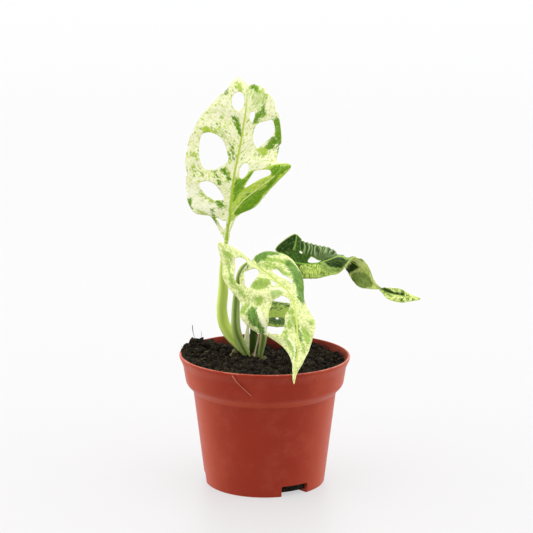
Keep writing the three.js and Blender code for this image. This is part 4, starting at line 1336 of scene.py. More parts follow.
@dataclass
class LeafBlade:
    """A leaf blade with its thickness, thin rims, torn openings, veins and painted tones."""

    name: str
    plan: LeafPlan
    finish: Material
    thickness: float = 0.5
    spacing: float = 0.6
    vein_depth: float = 0.16
    vein_slope: float = 1.3
    crinkle: float = 0.0
    pleat: float = 0.0
    fray: float = 0.25
    nibble: float = 0.4
    surface: LeafSurface = field(init=False)

    def __post_init__(self) -> None:
        """Loft the surface."""
        self.surface = LeafSurface(self.plan)

    def outline(self) -> Array:
        """Draw the flat outline, its margins a little uneven.

        Returns:
            Its points, from the base up the right margin and back down the left one.
        """
        surface = self.surface
        count = max(int(surface.length / (0.75 * self.spacing)), 12)
        shares = np.interp(np.linspace(0, surface.length, count), surface.lengths, surface.shares)
        sides = []
        for side in (1, -1):
            bite = [max(noise.fractal((share * 20, side * 3.0, 1.0), 0.7, 2.2, 4), 0)
                    for share in shares.tolist()]
            flat = surface.to_plane(shares, side * np.ones_like(shares))
            depth = np.array(bite) * self.nibble * (1 + 2.5 * smooth_step(0.86, 0.95, shares))
            flat[:, 1] -= side * np.minimum(depth, 0.35 * np.abs(flat[:, 1]))
            sides.append(flat)
        return np.vstack([sides[0], sides[1][::-1]])

    def openings(self) -> list[Array]:
        """Draw the flat outlines of the openings, their edges a little uneven.

        Returns:
            One outline for each opening.
        """
        rings = []
        for number, corners in enumerate(self.plan.openings):
            rough = SmoothCurve(corners, closed=True)
            flat = self.surface.to_plane(*rough.at(np.linspace(0, 1, 400, endpoint=False)).T)
            length = np.linalg.norm(np.roll(flat, -1, axis=0) - flat, axis=1).sum()
            count = max(int(length / (0.75 * self.spacing)), 8)
            flat = self.surface.to_plane(*rough.at(np.linspace(0, 1, count, endpoint=False)).T)
            wave = np.array([noise.noise((x * 0.9, y * 0.9, 3.1 * number)) for x, y in flat])
            rings.append(flat + unit(flat - flat.mean(0)) * (self.fray * wave)[:, None])
        return rings

    def vein_place(self, flat: Array) -> tuple[Array, Array]:
        """Measure across and along the lateral veins, which leave the midrib at one angle.

        Args:
            flat: The places laid out flat.

        Returns:
            Millimetres across the veins and along them.
        """
        lean = 1 / np.hypot(1, self.vein_slope)
        side = np.abs(flat[:, 1])
        shift = np.where(flat[:, 1] < 0, 0.0, 0.24 * self.surface.length / max(self.plan.veins, 1))
        across = (flat[:, 0] - self.vein_slope * side + shift) * lean
        along = (self.vein_slope * flat[:, 0] + side) * lean
        return across, along + np.where(flat[:, 1] < 0, 200.0, 0.0)

    def tone_depth(self, tone: Tone, flat: Array, smooth: Array) -> Array:
        """Measure how deep each place lies inside the strokes and patches of one tone.

        Args:
            tone: The tone.
            flat: The places laid out flat.
            smooth: The same places on the smooth surface.

        Returns:
            Millimetres inside the nearest one, negative outside.
        """
        depth = np.full(len(flat), -9.0)
        for band in self.plan.strokes:
            if band.tone is tone:
                line = np.array(band.line)
                steps = np.linspace(0, len(line) - 1, 24 * (len(line) - 1) + 1)
                along, across = (np.interp(steps, np.arange(len(line)), row) for row in line.T)
                away = nearest(self.surface.smooth(along, across), smooth)
                depth = np.maximum(depth, band.half_width - away)
        for area in self.plan.patches:
            if area.tone is tone:
                shares = np.linspace(0, 1, 240, endpoint=False)
                along, across = SmoothCurve(area.outline, closed=True).at(shares).T
                ring = self.surface.to_plane(np.clip(along, 0, 1), across)
                apart = nearest(ring, flat)
                depth = np.maximum(depth, np.where(within(ring, flat), apart, -apart))
        return depth

    def fill(self, openings: Sequence[Array]) -> tuple[Array, Array]:
        """Fill the flat outline with triangles that follow the midrib.

        Args:
            openings: The outlines of the openings.

        Returns:
            The flat points and the triangles.
        """
        outline, radius, surface = self.outline(), self.plan.rib_radius, self.surface
        centre = np.linspace(outline[:, 0].min() + 0.3, outline[:, 0].max() - 0.8,
                             max(int(surface.length / (0.7 * self.spacing)), 4))
        along = np.interp(centre, surface.lengths, surface.shares)
        wide = np.minimum(*(np.interp(along, surface.shares, surface.widths[side]) for side in (-1, 1)))
        lines = []
        for shift in (-1, -0.8, -0.45, 0, 0.45, 0.8, 1) if radius else (0,):
            line = np.column_stack([centre, np.full_like(centre, shift * radius)])
            line = line[abs(shift * radius) < wide - 0.4]
            if len(line) > 1:
                lines.append(line)
        return fill_plane(outline, openings, self.spacing, lines)

    def vein_sink(self, across: Array, margin: Array) -> Array:
        """Give how deep the lateral veins lie in the blade.

        Args:
            across: Millimetres across the veins.
            margin: The distances from the margins.

        Returns:
            The depths.
        """
        if not self.plan.veins:
            return np.zeros_like(across)
        gap = self.surface.length / self.plan.veins / np.hypot(1, self.vein_slope)
        apart = np.abs(across / gap - np.floor(across / gap) - 0.5) * gap
        return self.vein_depth * np.exp(-(apart / 0.45) ** 2) * smooth_step(0, 1.5, margin)

    def build(self) -> Piece:
        """Make the blade's mesh with the maps and values that its finish reads.

        Returns:
            The blade's object.
        """
        surface, openings = self.surface, self.openings()
        flat, triangles = self.fill(openings)
        along, across = surface.from_plane(flat)
        smooth, normal = surface.smooth(along, across), surface.normal(along, across)
        shares, ones = np.linspace(0.02, 1, 500), np.ones(500)
        margins = surface.smooth(np.concatenate([shares, shares]), np.concatenate([-ones, ones]))
        margin, torn = nearest(margins, smooth), np.full(len(smooth), 9.0)
        if openings:
            torn = nearest(np.vstack([surface.smooth(*surface.from_plane(ring)) for ring in openings]),
                           smooth)
        veins = self.vein_place(flat)
        side = np.abs(flat[:, 1])
        gate = (smooth_step(0.15, 0.55, -across) * smooth_step(0.14, 0.2, along)
                * smooth_step(0.52, 0.42, along))
        fold = self.pleat * gate * self.pleats(flat)
        wrinkle = self.crinkle * self.wrinkles(flat) * smooth_step(0, 2.0, side)
        sink = self.vein_sink(veins[0], margin)
        half = self.thickness / 2 * (0.3 + 0.7 * smooth_step(0, 0.9, np.minimum(margin, torn)))
        radius = self.plan.rib_radius * (1 - 0.66 * along)
        round_part, on_rib = 0 * along, 0 * along
        if self.plan.rib_radius:
            round_part = np.sqrt(np.maximum(radius ** 2 - side ** 2, 0))
            on_rib = smooth_step(1.3, 0.75, side / np.maximum(radius, 0.05))
        base = surface.relief(along, across) + wrinkle + fold - sink * (1 - on_rib)
        over = np.maximum(half, round_part - 0.35 * radius)
        under = np.maximum(half + 0.6 * sink, round_part + 0.35 * radius)
        points = np.vstack([smooth + normal * (base + over)[:, None],
                            smooth + normal * (base - under)[:, None]])
        count = len(flat)
        starts, ends = border_edges(triangles).T
        rim = np.column_stack([ends + count, starts + count, starts, ends])
        faces = [*triangles[:, ::-1].tolist(), *(triangles + count).tolist(), *rim.tolist()]
        piece = make_piece(self.name, points, faces, self.finish)
        add_map(piece, "veins", np.tile(np.column_stack(veins), (2, 1)))
        values = {tone.value: self.tone_depth(tone, flat, smooth) for tone in Tone}
        values |= {"rib": on_rib, "along": along, "across": across, "margin": margin, "opening": torn,
                   "fold": fold}
        for name, numbers in values.items():
            add_value(piece, name, np.tile(numbers, 2))
        add_value(piece, "under", np.repeat([0.0, 1.0], count))
        return piece

    def wrinkles(self, flat: Array) -> Array:
        """Give the height of small folds at places laid out flat."""
        return np.array([noise.fractal((x, y, 5.0), 0.9, 2.1, 3) for x, y in (flat * (0.42, 0.13)).tolist()])

    def pleats(self, flat: Array) -> Array:
        """Give the height of rounded pleats with sharp valleys that run out from the midrib."""
        drift = np.array([noise.noise((x * 0.22, y * 0.09, 8.0)) for x, y in flat.tolist()])
        return np.abs(np.cos(np.pi * flat[:, 0] / 3.1 + 2.4 * drift)) - 0.64


# The stalks, the stem and the strands.


def sweep(path: Sequence[Point], radii: Sequence[float], shares: Array, side: Point) -> tuple[Array, ...]:
    """Give what is needed to put rings round a path.

    Args:
        path: The path's points.
        radii: Radii at even steps along it.
        shares: How far along each ring is.
        side: A direction that the path doesn't follow.

    Returns:
        The rings' centres, the two directions across the path, and their radii.
    """
    curve = SmoothCurve(path)
    tangent = curve.tangent(shares)
    across = unit(np.cross(side, tangent))
    widths = SmoothCurve([(radius, 0, 0) for radius in radii]).at(shares)[:, 0]
    return curve.at(shares), across, np.cross(tangent, across), widths


@dataclass
class Stalk:
    """A round stalk along a path: tapering, with a groove down its front between two thin wings."""

    name: str
    path: tuple[Point, ...]
    radii: tuple[float, ...]
    finish: Material
    groove: float = 0.0
    wing: float = 0.0
    wing_end: float = 0.7
    knobs: tuple[float, ...] = ()
    rough: float = 0.0
    sides: int = 28
    steps: int = 130

    def section(self, share: Array, angle: Array) -> tuple[Array, Array, Array]:
        """Give the shape round the stalk.

        Args:
            share: Shares along the stalk.
            angle: Angles round it.

        Returns:
            The share of the radius, how deep in the groove, and how far on a wing.
        """
        front = np.maximum(-np.sin(angle), 0) ** 6
        fade = smooth_step(self.wing_end, self.wing_end - 0.25, share) if self.wing else 0 * share
        lean = np.degrees(np.abs((angle + np.pi / 2 + np.pi) % (2 * np.pi) - np.pi))
        ridge = np.exp(-((lean - 40) / 13) ** 2) * fade
        hollow = front * (self.groove + 0.6 * self.wing * fade)
        return 1 - hollow + self.wing * ridge, front * np.sign(self.groove), ridge

    def build(self) -> Piece:
        """Make the stalk's mesh, closed at both ends.

        Returns:
            The stalk's object.
        """
        shares = np.linspace(0, 1, self.steps + 1)
        centre, across, outward, widths = sweep(self.path, self.radii, shares, (0.0, 1.0, 0.0))
        for knob in self.knobs:
            widths = widths * (1 + 0.16 * np.exp(-((shares - knob) / 0.016) ** 2))
        angles = 2 * np.pi * np.arange(self.sides) / self.sides
        share, angle = (grid.ravel() for grid in np.meshgrid(shares, angles, indexing="ij"))
        part, hollow, ridge = self.section(share, angle)
        middle, right, out = (np.repeat(rows, self.sides, axis=0) for rows in (centre, across, outward))
        away = right * np.cos(angle)[:, None] + out * np.sin(angle)[:, None]
        points = middle + away * (np.repeat(widths, self.sides) * part)[:, None]
        if self.rough:
            bumps = [noise.fractal(Vector(point) * 0.35, 0.8, 2.0, 4) for point in points.tolist()]
            points = points + away * (self.rough * np.array(bumps))[:, None]
        points = np.vstack([points, centre[:1], centre[-1:]])
        piece = make_piece(self.name, points, fanned(self.steps + 1, self.sides), self.finish)
        run = np.concatenate([[0], np.cumsum(np.linalg.norm(np.diff(centre, axis=0), axis=1))])
        flat = np.column_stack([angle * float(np.mean(self.radii)), np.repeat(run, self.sides)])
        add_map(piece, "length", np.vstack([flat, [[0.0, 0.0], [0.0, run[-1]]]]))
        for name, values, ends in (("along", share, (0, 1)), ("groove", hollow, (0, 0)),
                                   ("wing", ridge, (0, 0))):
            add_value(piece, name, np.append(values, ends))
        return piece


@dataclass
class Strand:
    """A thin dry strand or hair along a path."""

    path: tuple[Point, ...]
    radii: tuple[float, ...]
    wander: float = 0.0
    seed: float = 0.0
    sides: int = 8
    steps: int = 60

    def shape(self) -> Shape:
        """Make the strand's points and faces.

        Returns:
            The points in millimetres, and the faces.
        """
        shares = np.linspace(0, 1, self.steps + 1)
        centre, across, outward, widths = sweep(self.path, self.radii, shares, (0.31, 0.95, 0.0))
        noise.seed_set(WANDER_SEED)
        drift = [tuple(noise.noise_vector((share * 6, self.seed, 0.5))) for share in shares.tolist()]
        centre = centre + self.wander * np.array(drift)
        points = []
        for place, side, out, width, share in zip(centre, across, outward, widths, shares):
            for j in range(self.sides):
                angle = 2 * math.pi * j / self.sides
                flat = 1 + 0.25 * math.sin(2 * angle + 9 * share)
                points.append(place + width * flat * (side * math.cos(angle) + out * math.sin(angle)))
        return np.array(points), capped(self.steps + 1, self.sides)


# The pot and its soil.

DRAINS = (-60.0, 60.0, 180.0)
LIP_HEIGHT = 91.0
FOOT_RADIUS = 42.3


def lean(points: Array) -> Array:
    """Draw the pot and its soil up a little more at the front and the left, as thin moulded walls warp.

    Args:
        points: The points in millimetres, changed in place.

    Returns:
        The points.
    """
    lift = 1.2 - 0.012 * points[:, 0] - 0.022 * points[:, 1]
    points[:, 2] += lift * np.maximum(points[:, 2], 0) / LIP_HEIGHT
    return points


@dataclass
class NurseryPot:
    """The thin-walled pot: a collar over a tapering body, a rolled lip and drain notches in its foot."""

    finish: Material
    # Corners as radius, height and how far back each is rounded.
    outside: tuple[Point, ...] = (
        (0, 0, 0), (FOOT_RADIUS, 0, 0.8), (50.35, 65.4, 1.0), (50.9, 66.2, 0.8), (54.6, 70.1, 0.9),
        (55.6, 72.0, 1.2),
        (57.4, 83.4, 3.0), (58.6, 86.2, 1.6), (59.9, 88.9, 1.5), (60.1, 90.5, 0.5), (59.5, LIP_HEIGHT, 0.4),
    )
    inside: tuple[Point, ...] = (
        (58.5, LIP_HEIGHT, 0.5), (57.9, 89.4, 0.8), (56.0, 84.0, 1.6), (54.0, 73.2, 1.0), (53.2, 71.3, 1.0),
        (48.9, 66.6, 1.5), (40.0, 2.2, 1.2), (0, 2.2, 0),
    )
    segments: int = 240
    notch_width: float = 28.0
    notch_height: float = 7.6
    channel_end: float = 23.0
    roof: float = 2.0
    drain: float = 4.0
    sharp_angle: float = 32.0

    @staticmethod
    def rounded(corners: Sequence[Point], steps: int = 6) -> Array:
        """Round the corners of a profile.

        Args:
            corners: Radius, height and rounding of each.
            steps: Pieces in each rounded corner.

        Returns:
            The profile.
        """
        spots = np.array(corners, float)
        line = [spots[0, :2]]
        for (*before, _), (*here, size), (*after, _) in zip(spots[:-2], spots[1:-1], spots[2:]):
            back, on = np.subtract(before, here), np.subtract(after, here)
            reach = min(size, 0.48 * np.linalg.norm(back), 0.48 * np.linalg.norm(on))
            start, end = here + unit(back) * reach, here + unit(on) * reach
            for share in np.linspace(0, 1, steps + 1):
                bend = 2 * share * (1 - share) * np.array(here)
                line.append((1 - share) ** 2 * start + bend + share ** 2 * end)
        return np.array([*line, spots[-1, :2]])

    def turned(self, profile: Array) -> Shape:
        """Turn a profile that starts and ends on the axis into a closed body.

        Args:
            profile: Radius and height of its points.

        Returns:
            The points and faces.
        """
        rings, count = profile[1:-1], self.segments
        angles = 2 * np.pi * np.arange(count) / count
        points = [np.column_stack([r * np.cos(angles), r * np.sin(angles), np.full(count, z)])
                  for r, z in rings]
        points = np.vstack([*points, [[0, 0, profile[0, 1]]], [[0, 0, profile[-1, 1]]]])
        return points, fanned(len(rings), count)

    def sector(self, bearing: float, half: float, levels: Spot, radii: Spot, rounding: float) -> Shape:
        """Make a block over a sector of a ring, its upper edges rounded.

        Args:
            bearing: Its middle, in degrees.
            half: Half its width, in degrees.
            levels: Its lower and upper level.
            radii: Its inner and outer radius.
            rounding: How far its upper edges are rounded, in degrees and millimetres.

        Returns:
            The points and faces.
        """
        low, high = levels
        bend = [(half - rounding * (1 - math.sin(a)), high - rounding * 0.9 * (1 - math.cos(a)))
                for a in np.linspace(math.pi / 2, 0, 6)]
        flat = [(a, high) for a in np.linspace(half - rounding, -(half - rounding), 9)[1:-1]]
        base = [(a, low) for a in np.linspace(-half, half, 9)]
        rim = base + bend + flat + [(-a, z) for a, z in reversed(bend)]
        points = []
        for radius in radii:
            for degrees, z in rim:
                angle = math.radians(bearing + degrees)
                points.append((radius * math.cos(angle), radius * math.sin(angle), z))
        count = len(rim)
        faces = [(i, i + count, (i + 1) % count + count, (i + 1) % count) for i in range(count)]
        faces += [tuple(range(count)), tuple(reversed(range(count, 2 * count)))]
        return np.array(points), faces

    def drain_hole(self, bearing: float) -> Shape:
        """Make a round plug through the roof of a drain channel.

        Args:
            bearing: The channel's bearing, in degrees.

        Returns:
            The points and faces.
        """
        middle, angle, count = (self.channel_end + FOOT_RADIUS) / 2, math.radians(bearing), 32
        ring = [(middle * math.cos(angle) + self.drain * math.cos(turn),
                 middle * math.sin(angle) + self.drain * math.sin(turn))
                for turn in 2 * math.pi * np.arange(count) / count]
        return np.array([(x, y, z) for z in (3.0, 12.0) for x, y in ring]), capped(2, count)

    def change(self, pot: Piece, operation: str, shapes: Sequence[Shape]) -> None:
        """Join shapes to the pot or cut them out of it.

        Args:
            pot: The pot's object.
            operation: UNION or DIFFERENCE.
            shapes: Points and faces of each shape.
        """
        body = make_piece("pot_tool", *gather(shapes), self.finish)
        shape = bmesh.new()
        shape.from_mesh(body.data)
        bmesh.ops.recalc_face_normals(shape, faces=shape.faces)
        shape.to_mesh(body.data)
        shape.free()
        cut = pot.modifiers.new("cut", "BOOLEAN")
        cut.solver, cut.operation, cut.object = "MANIFOLD", operation, body
        baked = evaluated(pot)
        pot.modifiers.clear()
        pot.data = baked
        bpy.data.objects.remove(body)

    def build(self) -> Piece:
        """Make the pot with its channels, notches and drain holes.

        Returns:
            The pot's object.
        """
        pot = make_piece("pot_shell", *self.turned(self.rounded([*self.outside, *self.inside])), self.finish)
        half, end, top = self.notch_width / 2, self.channel_end, self.notch_height
        room = self.roof / 42 * 180 / math.pi
        over = (1.1, top + self.roof), (end - self.roof, 41.7), 1.5
        self.change(pot, "UNION", [self.sector(bearing, half + room, *over) for bearing in DRAINS])
        free = (-1, top), (end, 60), 1.6
        self.change(pot, "DIFFERENCE", [self.sector(bearing, half, *free) for bearing in DRAINS])
        self.change(pot, "DIFFERENCE", [self.drain_hole(bearing) for bearing in DRAINS])
        self.measure(pot)
        self.sharpen(pot)
        return pot

    def measure(self, pot: Piece) -> None:
        """Give the pot's points their level and whether they face the soil, then lean the pot.

        Args:
            pot: The pot's object.
        """
        flat = np.empty(len(pot.data.vertices) * 3)
        pot.data.vertices.foreach_get("co", flat)
        points = flat.reshape(-1, 3) / MM
        radii, levels = zip(*[(r, z) for r, z, _ in reversed(self.inside)])
        reach = np.hypot(points[:, 0], points[:, 1]) - np.interp(points[:, 2], levels, radii)
        add_value(pot, "level", points[:, 2].copy())
        add_value(pot, "inside", (reach < 0.3).astype(float))
        pot.data.vertices.foreach_set("co", (lean(points) * MM).ravel())

    def sharpen(self, pot: Piece) -> None:
        """Shade the pot smooth, apart from the edges that fold more than an angle.

        Args:
            pot: The pot's object.
        """
        shape = bmesh.new()
        shape.from_mesh(pot.data)
        for face in shape.faces:
            face.smooth = True
        for edge in shape.edges:
            edge.smooth = (len(edge.link_faces) == 2
                           and edge.calc_face_angle() < math.radians(self.sharp_angle))
        shape.to_mesh(pot.data)
        shape.free()


class ScatterTree(TreeMaker):
    """Geometry nodes that strew small shapes over a surface."""

    def __init__(self, name: str, finish: Material) -> None:
        """Make the tree with its named inputs.

        Args:
            name: The tree's name.
            finish: The finish of what is strewn.
        """
        super().__init__(name, "Geometry", Surface="Geometry", Density="Float", Smallest="Float",
                         Largest="Float",
                         Seed="Int")
        self.finish = finish

    def crumb(self, variant: int) -> Socket:
        """Make one lump of peat, of a radius of 1.

        Args:
            variant: Which lump.

        Returns:
            Its mesh.
        """
        graph = self.graph
        ball = graph.node("GeometryNodeMeshIcoSphere", Radius=1.0, Subdivisions=2)
        place = graph.node("GeometryNodeInputPosition").outputs[0]
        lumps = graph.node("ShaderNodeTexNoise", {"noise_dimensions": "4D"}, Vector=place, W=variant * 3.7,
                           Scale=1.1, Detail=2.0)
        grown = graph.vector("SCALE", place, Scale=graph.math("MULTIPLY_ADD", lumps.outputs[0], 1.7, 0.1))
        moved = graph.node("GeometryNodeSetPosition", Geometry=ball.outputs["Mesh"], Position=grown)
        return graph.node("GeometryNodeSetShadeSmooth", Geometry=moved.outputs[0],
                          Shade_Smooth=variant % 2 == 0).outputs[0]

    def fibre(self, variant: int) -> Socket:
        """Make one bent fibre, of a length of 2.

        Args:
            variant: Which fibre.

        Returns:
            Its mesh.
        """
        graph = self.graph
        line = graph.node("GeometryNodeCurvePrimitiveLine", Start=(-1, 0, 0), End=(1, 0, 0))
        points = graph.node("GeometryNodeResampleCurve", Curve=line.outputs[0], Count=8)
        place = graph.node("GeometryNodeInputPosition").outputs[0]
        bend = graph.node("ShaderNodeTexNoise", {"noise_dimensions": "4D"}, Vector=place, W=variant * 5.3,
                          Scale=0.9, Detail=1.0)
        centred = graph.vector("SUBTRACT", bend.outputs["Color"], (0.5, 0.5, 0.5))
        moved = graph.node("GeometryNodeSetPosition", Geometry=points.outputs[0],
                           Offset=graph.vector("MULTIPLY", centred, (0.6, 1.6, 0.7)))
        ring = graph.node("GeometryNodeCurvePrimitiveCircle", Resolution=4, Radius=0.055)
        return graph.node("GeometryNodeCurveToMesh", Curve=moved.outputs[0], Profile_Curve=ring.outputs[0],
                          Fill_Caps=True).outputs[0]

    def scatter(self, shapes: Sequence[Socket], flatness: Point, tilt: Point) -> None:
        """Strew the shapes over the surface and make them one mesh.

        Args:
            shapes: The meshes to strew.
            flatness: How much each is stretched along its own axes.
            tilt: How far each may turn about each axis, in radians.
        """
        graph, (surface, density, smallest, largest, seed) = self.graph, self.inputs
        family = graph.node("GeometryNodeGeometryToInstance")
        for shape in reversed(shapes):
            self.tree.links.new(shape, family.inputs[0])
        spots = graph.node("GeometryNodeDistributePointsOnFaces", Mesh=surface, Density=density, Seed=seed)
        turn = graph.node("FunctionNodeRandomValue", {"data_type": "FLOAT_VECTOR"},
                          tuple(-t for t in tilt), tilt,
                          Seed=seed)
        size = graph.node("FunctionNodeRandomValue", {"data_type": "FLOAT"})
        level = graph.math("POWER", size.outputs[1], 2.2)
        scale = graph.math("MULTIPLY_ADD", level, graph.math("SUBTRACT", largest, smallest), smallest)
        placed = graph.node("GeometryNodeInstanceOnPoints", Points=spots.outputs["Points"],
                            Instance=family.outputs[0], Pick_Instance=True, Rotation=turn.outputs[0],
                            Scale=graph.vector("SCALE", flatness, Scale=scale))
        whole = graph.node("GeometryNodeRealizeInstances", Geometry=placed.outputs[0])
        dressed = graph.node("GeometryNodeSetMaterial", Geometry=whole.outputs[0], Material=self.finish)
        self.gives("Pieces", dressed.outputs[0], "Geometry")

    def strew(self, name: str, surface: Piece, density: float, smallest: float, largest: float,
              seed: int) -> Piece:
        """Run the tree over a surface and keep the result as a plain mesh.

        Args:
            name: The new piece's name.
            surface: The object whose faces are strewn.
            density: Shapes in a square metre.
            smallest: The smallest scale, in metres.
            largest: The largest scale, in metres.
            seed: The seed of the scatter.

        Returns:
            The new piece.
        """
        live = surface.modifiers.new("strew", "NODES")
        live.node_group = self.tree
        values = {"Density": density, "Smallest": smallest, "Largest": largest, "Seed": seed}
        for item in self.tree.interface.items_tree:
            if item.in_out == "INPUT" and item.name in values:
                live[item.identifier] = values[item.name]
        mesh = evaluated(surface)
        surface.modifiers.remove(live)
        mesh.name = name
        if not mesh.materials:
            mesh.materials.append(self.finish)
        return link(bpy.data.objects.new(name, mesh))


@dataclass
class SoilBed:
    """The damp peat in the pot: a lumpy bed with crumbs, fibres and a few pale grains strewn on it."""

    finish: Material
    crumb_finish: Material
    fibre_finish: Material
    grain_finish: Material
    level: float = 86.4
    fall_right: float = 0.036
    fall_back: float = 0.0725
    bow_back: float = 0.0005
    # Heaps as x, y, rise and spread.
    heaps: tuple[tuple[float, ...], ...] = (
        (-47, 17, 8.0, 7.5), (-52, 2, 3.5, 8), (-11, 11, 3, 15), (22, -24, 1.5, 14), (-42, 37, 5.0, 10),
        (35, 46, 7, 8.5), (51, 22, 4, 14), (-57, -4, 2.4, 8), (-5.5, 4.5, -4.8, 6.5),
    )
    # The wall's inner outline as height and radius.
    wall: tuple[Spot, ...] = (
        (2.2, 40.0), (66.6, 48.9), (71.3, 53.2), (73.2, 54.0), (84.0, 56.0), (89.4, 57.9), (91.0, 58.4),
    )
    steps_down: tuple[float, ...] = (84.0, 73.2, 71.3, 66.6, 2.5)
    gap: float = 0.2
    rim_limit: float = 90.4
    spacing: float = 0.85
    lump: float = 2.1

    def smooth_height(self, spots: Array) -> Array:
        """Give the soil's level without its lumps.

        Args:
            spots: Places in plan.

        Returns:
            The levels.
        """
        x, y = spots.T
        height = self.level - self.fall_right * x - self.fall_back * y - self.bow_back * y * y
        for heap_x, heap_y, rise, spread in self.heaps:
            height = height + rise * np.exp(-((x - heap_x) ** 2 + (y - heap_y) ** 2) / (2 * spread ** 2))
        return height

    def wall_radius(self, height: Array) -> Array:
        """Give the wall's inner radius at each height."""
        levels, radii = zip(*self.wall)
        return np.interp(height, levels, radii)

    def lumpy(self, spots: Array, room: Array) -> Array:
        """Give the lumps and crumbs of the surface.

        Args:
            spots: Places in plan.
            room: How far each is from the wall.

        Returns:
            The height that they add.
        """
        rough = np.array([
            self.lump * noise.fractal((x * 0.13, y * 0.13, 2.0), 0.9, 2.0, 2)
            + 1.3 * noise.turbulence((x * 0.36, y * 0.36, 7.0), 3, True) - 0.9
            for x, y in spots.tolist()
        ])
        return rough * smooth_step(0, 3.0, room)

    def top(self, inset: float) -> tuple[Array, Array]:
        """Make the upper surface.

        Args:
            inset: How far it ends from the wall.

        Returns:
            Its points and triangles, facing up.
        """
        angles = np.linspace(0, 2 * np.pi, 400, endpoint=False)
        ring = np.column_stack([np.cos(angles), np.sin(angles)])
        levels = np.minimum(self.smooth_height(ring * 57), self.rim_limit)
        ring = ring * (self.wall_radius(levels) - self.gap - inset)[:, None]
        flat, triangles = fill_plane(ring, [], self.spacing)
        limits = np.interp(np.arctan2(flat[:, 1], flat[:, 0]) % (2 * np.pi), np.append(angles, 2 * np.pi),
                           np.append(np.hypot(*ring.T), np.hypot(*ring[0])))
        room = np.maximum(limits - np.hypot(*flat.T), 0)
        height = self.smooth_height(flat) + self.lumpy(flat, room + inset)
        height = np.minimum(height, self.rim_limit + 1.4 * (room + inset))
        return np.column_stack([flat, height]), triangles

    def build(self) -> Piece:
        """Make the bed, closed down to the floor of the pot.

        Returns:
            The soil's object.
        """
        points, triangles = self.top(0.0)
        edges = border_edges(triangles)
        following = dict(edges.tolist())
        upper = [int(edges[0, 0])]
        while following[upper[-1]] != upper[0]:
            upper.append(following[upper[-1]])
        faces, ring, rings = triangles.tolist(), points[upper], [points]
        total, count = len(points), len(upper)
        for height in self.steps_down:
            lower = np.minimum(ring[:, 2] - 0.6, height)
            radius = self.wall_radius(lower) - self.gap
            ring = np.column_stack([unit(ring[:, :2]) * radius[:, None], lower])
            numbers = list(range(total, total + count))
            turned = [(i, (i + 1) % count) for i in range(count)]
            faces += [[upper[on], upper[i], numbers[i], numbers[on]] for i, on in turned]
            rings.append(ring)
            total += count
            upper = numbers
        rings.append(np.array([[0, 0, self.steps_down[-1]]]))
        faces += [[upper[(i + 1) % count], upper[i], total] for i in range(count)]
        return make_piece("soil_bed", lean(np.vstack(rings)), faces, self.finish)

    def strewn(self) -> list[Piece]:
        """Strew crumbs, fibres and pale grains over the bed.

        Returns:
            The strewn pieces.
        """
        points, triangles = self.top(1.6)
        surface = make_piece("strew_surface", lean(points), triangles.tolist(), self.finish)
        angles = np.radians(np.linspace(158, 178, 24))
        rims = [np.column_stack([r * np.cos(angles), r * np.sin(angles), np.full(24, z)])
                for r, z in ((56.0, 90.6), (58.8, 90.9))]
        strip = [(i, i + 24, i + 25, i + 1) for i in range(23)]
        spill = make_piece("spill_surface", lean(np.vstack(rims)), strip, self.finish)
        crumbs = ScatterTree("peat_crumbs", self.crumb_finish)
        crumbs.scatter([crumbs.crumb(i) for i in range(4)], (1.25, 0.9, 0.75), (3.1, 3.1, 3.1))
        fibres = ScatterTree("peat_fibres", self.fibre_finish)
        fibres.scatter([fibres.fibre(i) for i in range(4)], (1, 1, 1), (0.35, 0.35, 3.14))
        grains = ScatterTree("pale_grains", self.grain_finish)
        grains.scatter([grains.crumb(i + 4) for i in range(3)], (1, 0.8, 0.7), (3.1, 3.1, 3.1))
        pieces = [
            crumbs.strew("soil_crumbs", surface, 1.3e5, 0.0003, 0.0024, 3),
            crumbs.strew("soil_clods", surface, 1.5e4, 0.0014, 0.004, 5),
            crumbs.strew("spilt_crumbs", spill, 5e5, 0.0004, 0.0021, 9),
            fibres.strew("soil_fibres", surface, 7e4, 0.0012, 0.0056, 8),
            grains.strew("soil_grains", surface, 2.2e3, 0.0002, 0.0007, 21),
        ]
        for used in (surface, spill):
            bpy.data.objects.remove(used)
        return pieces


# The studio and the whole plant.


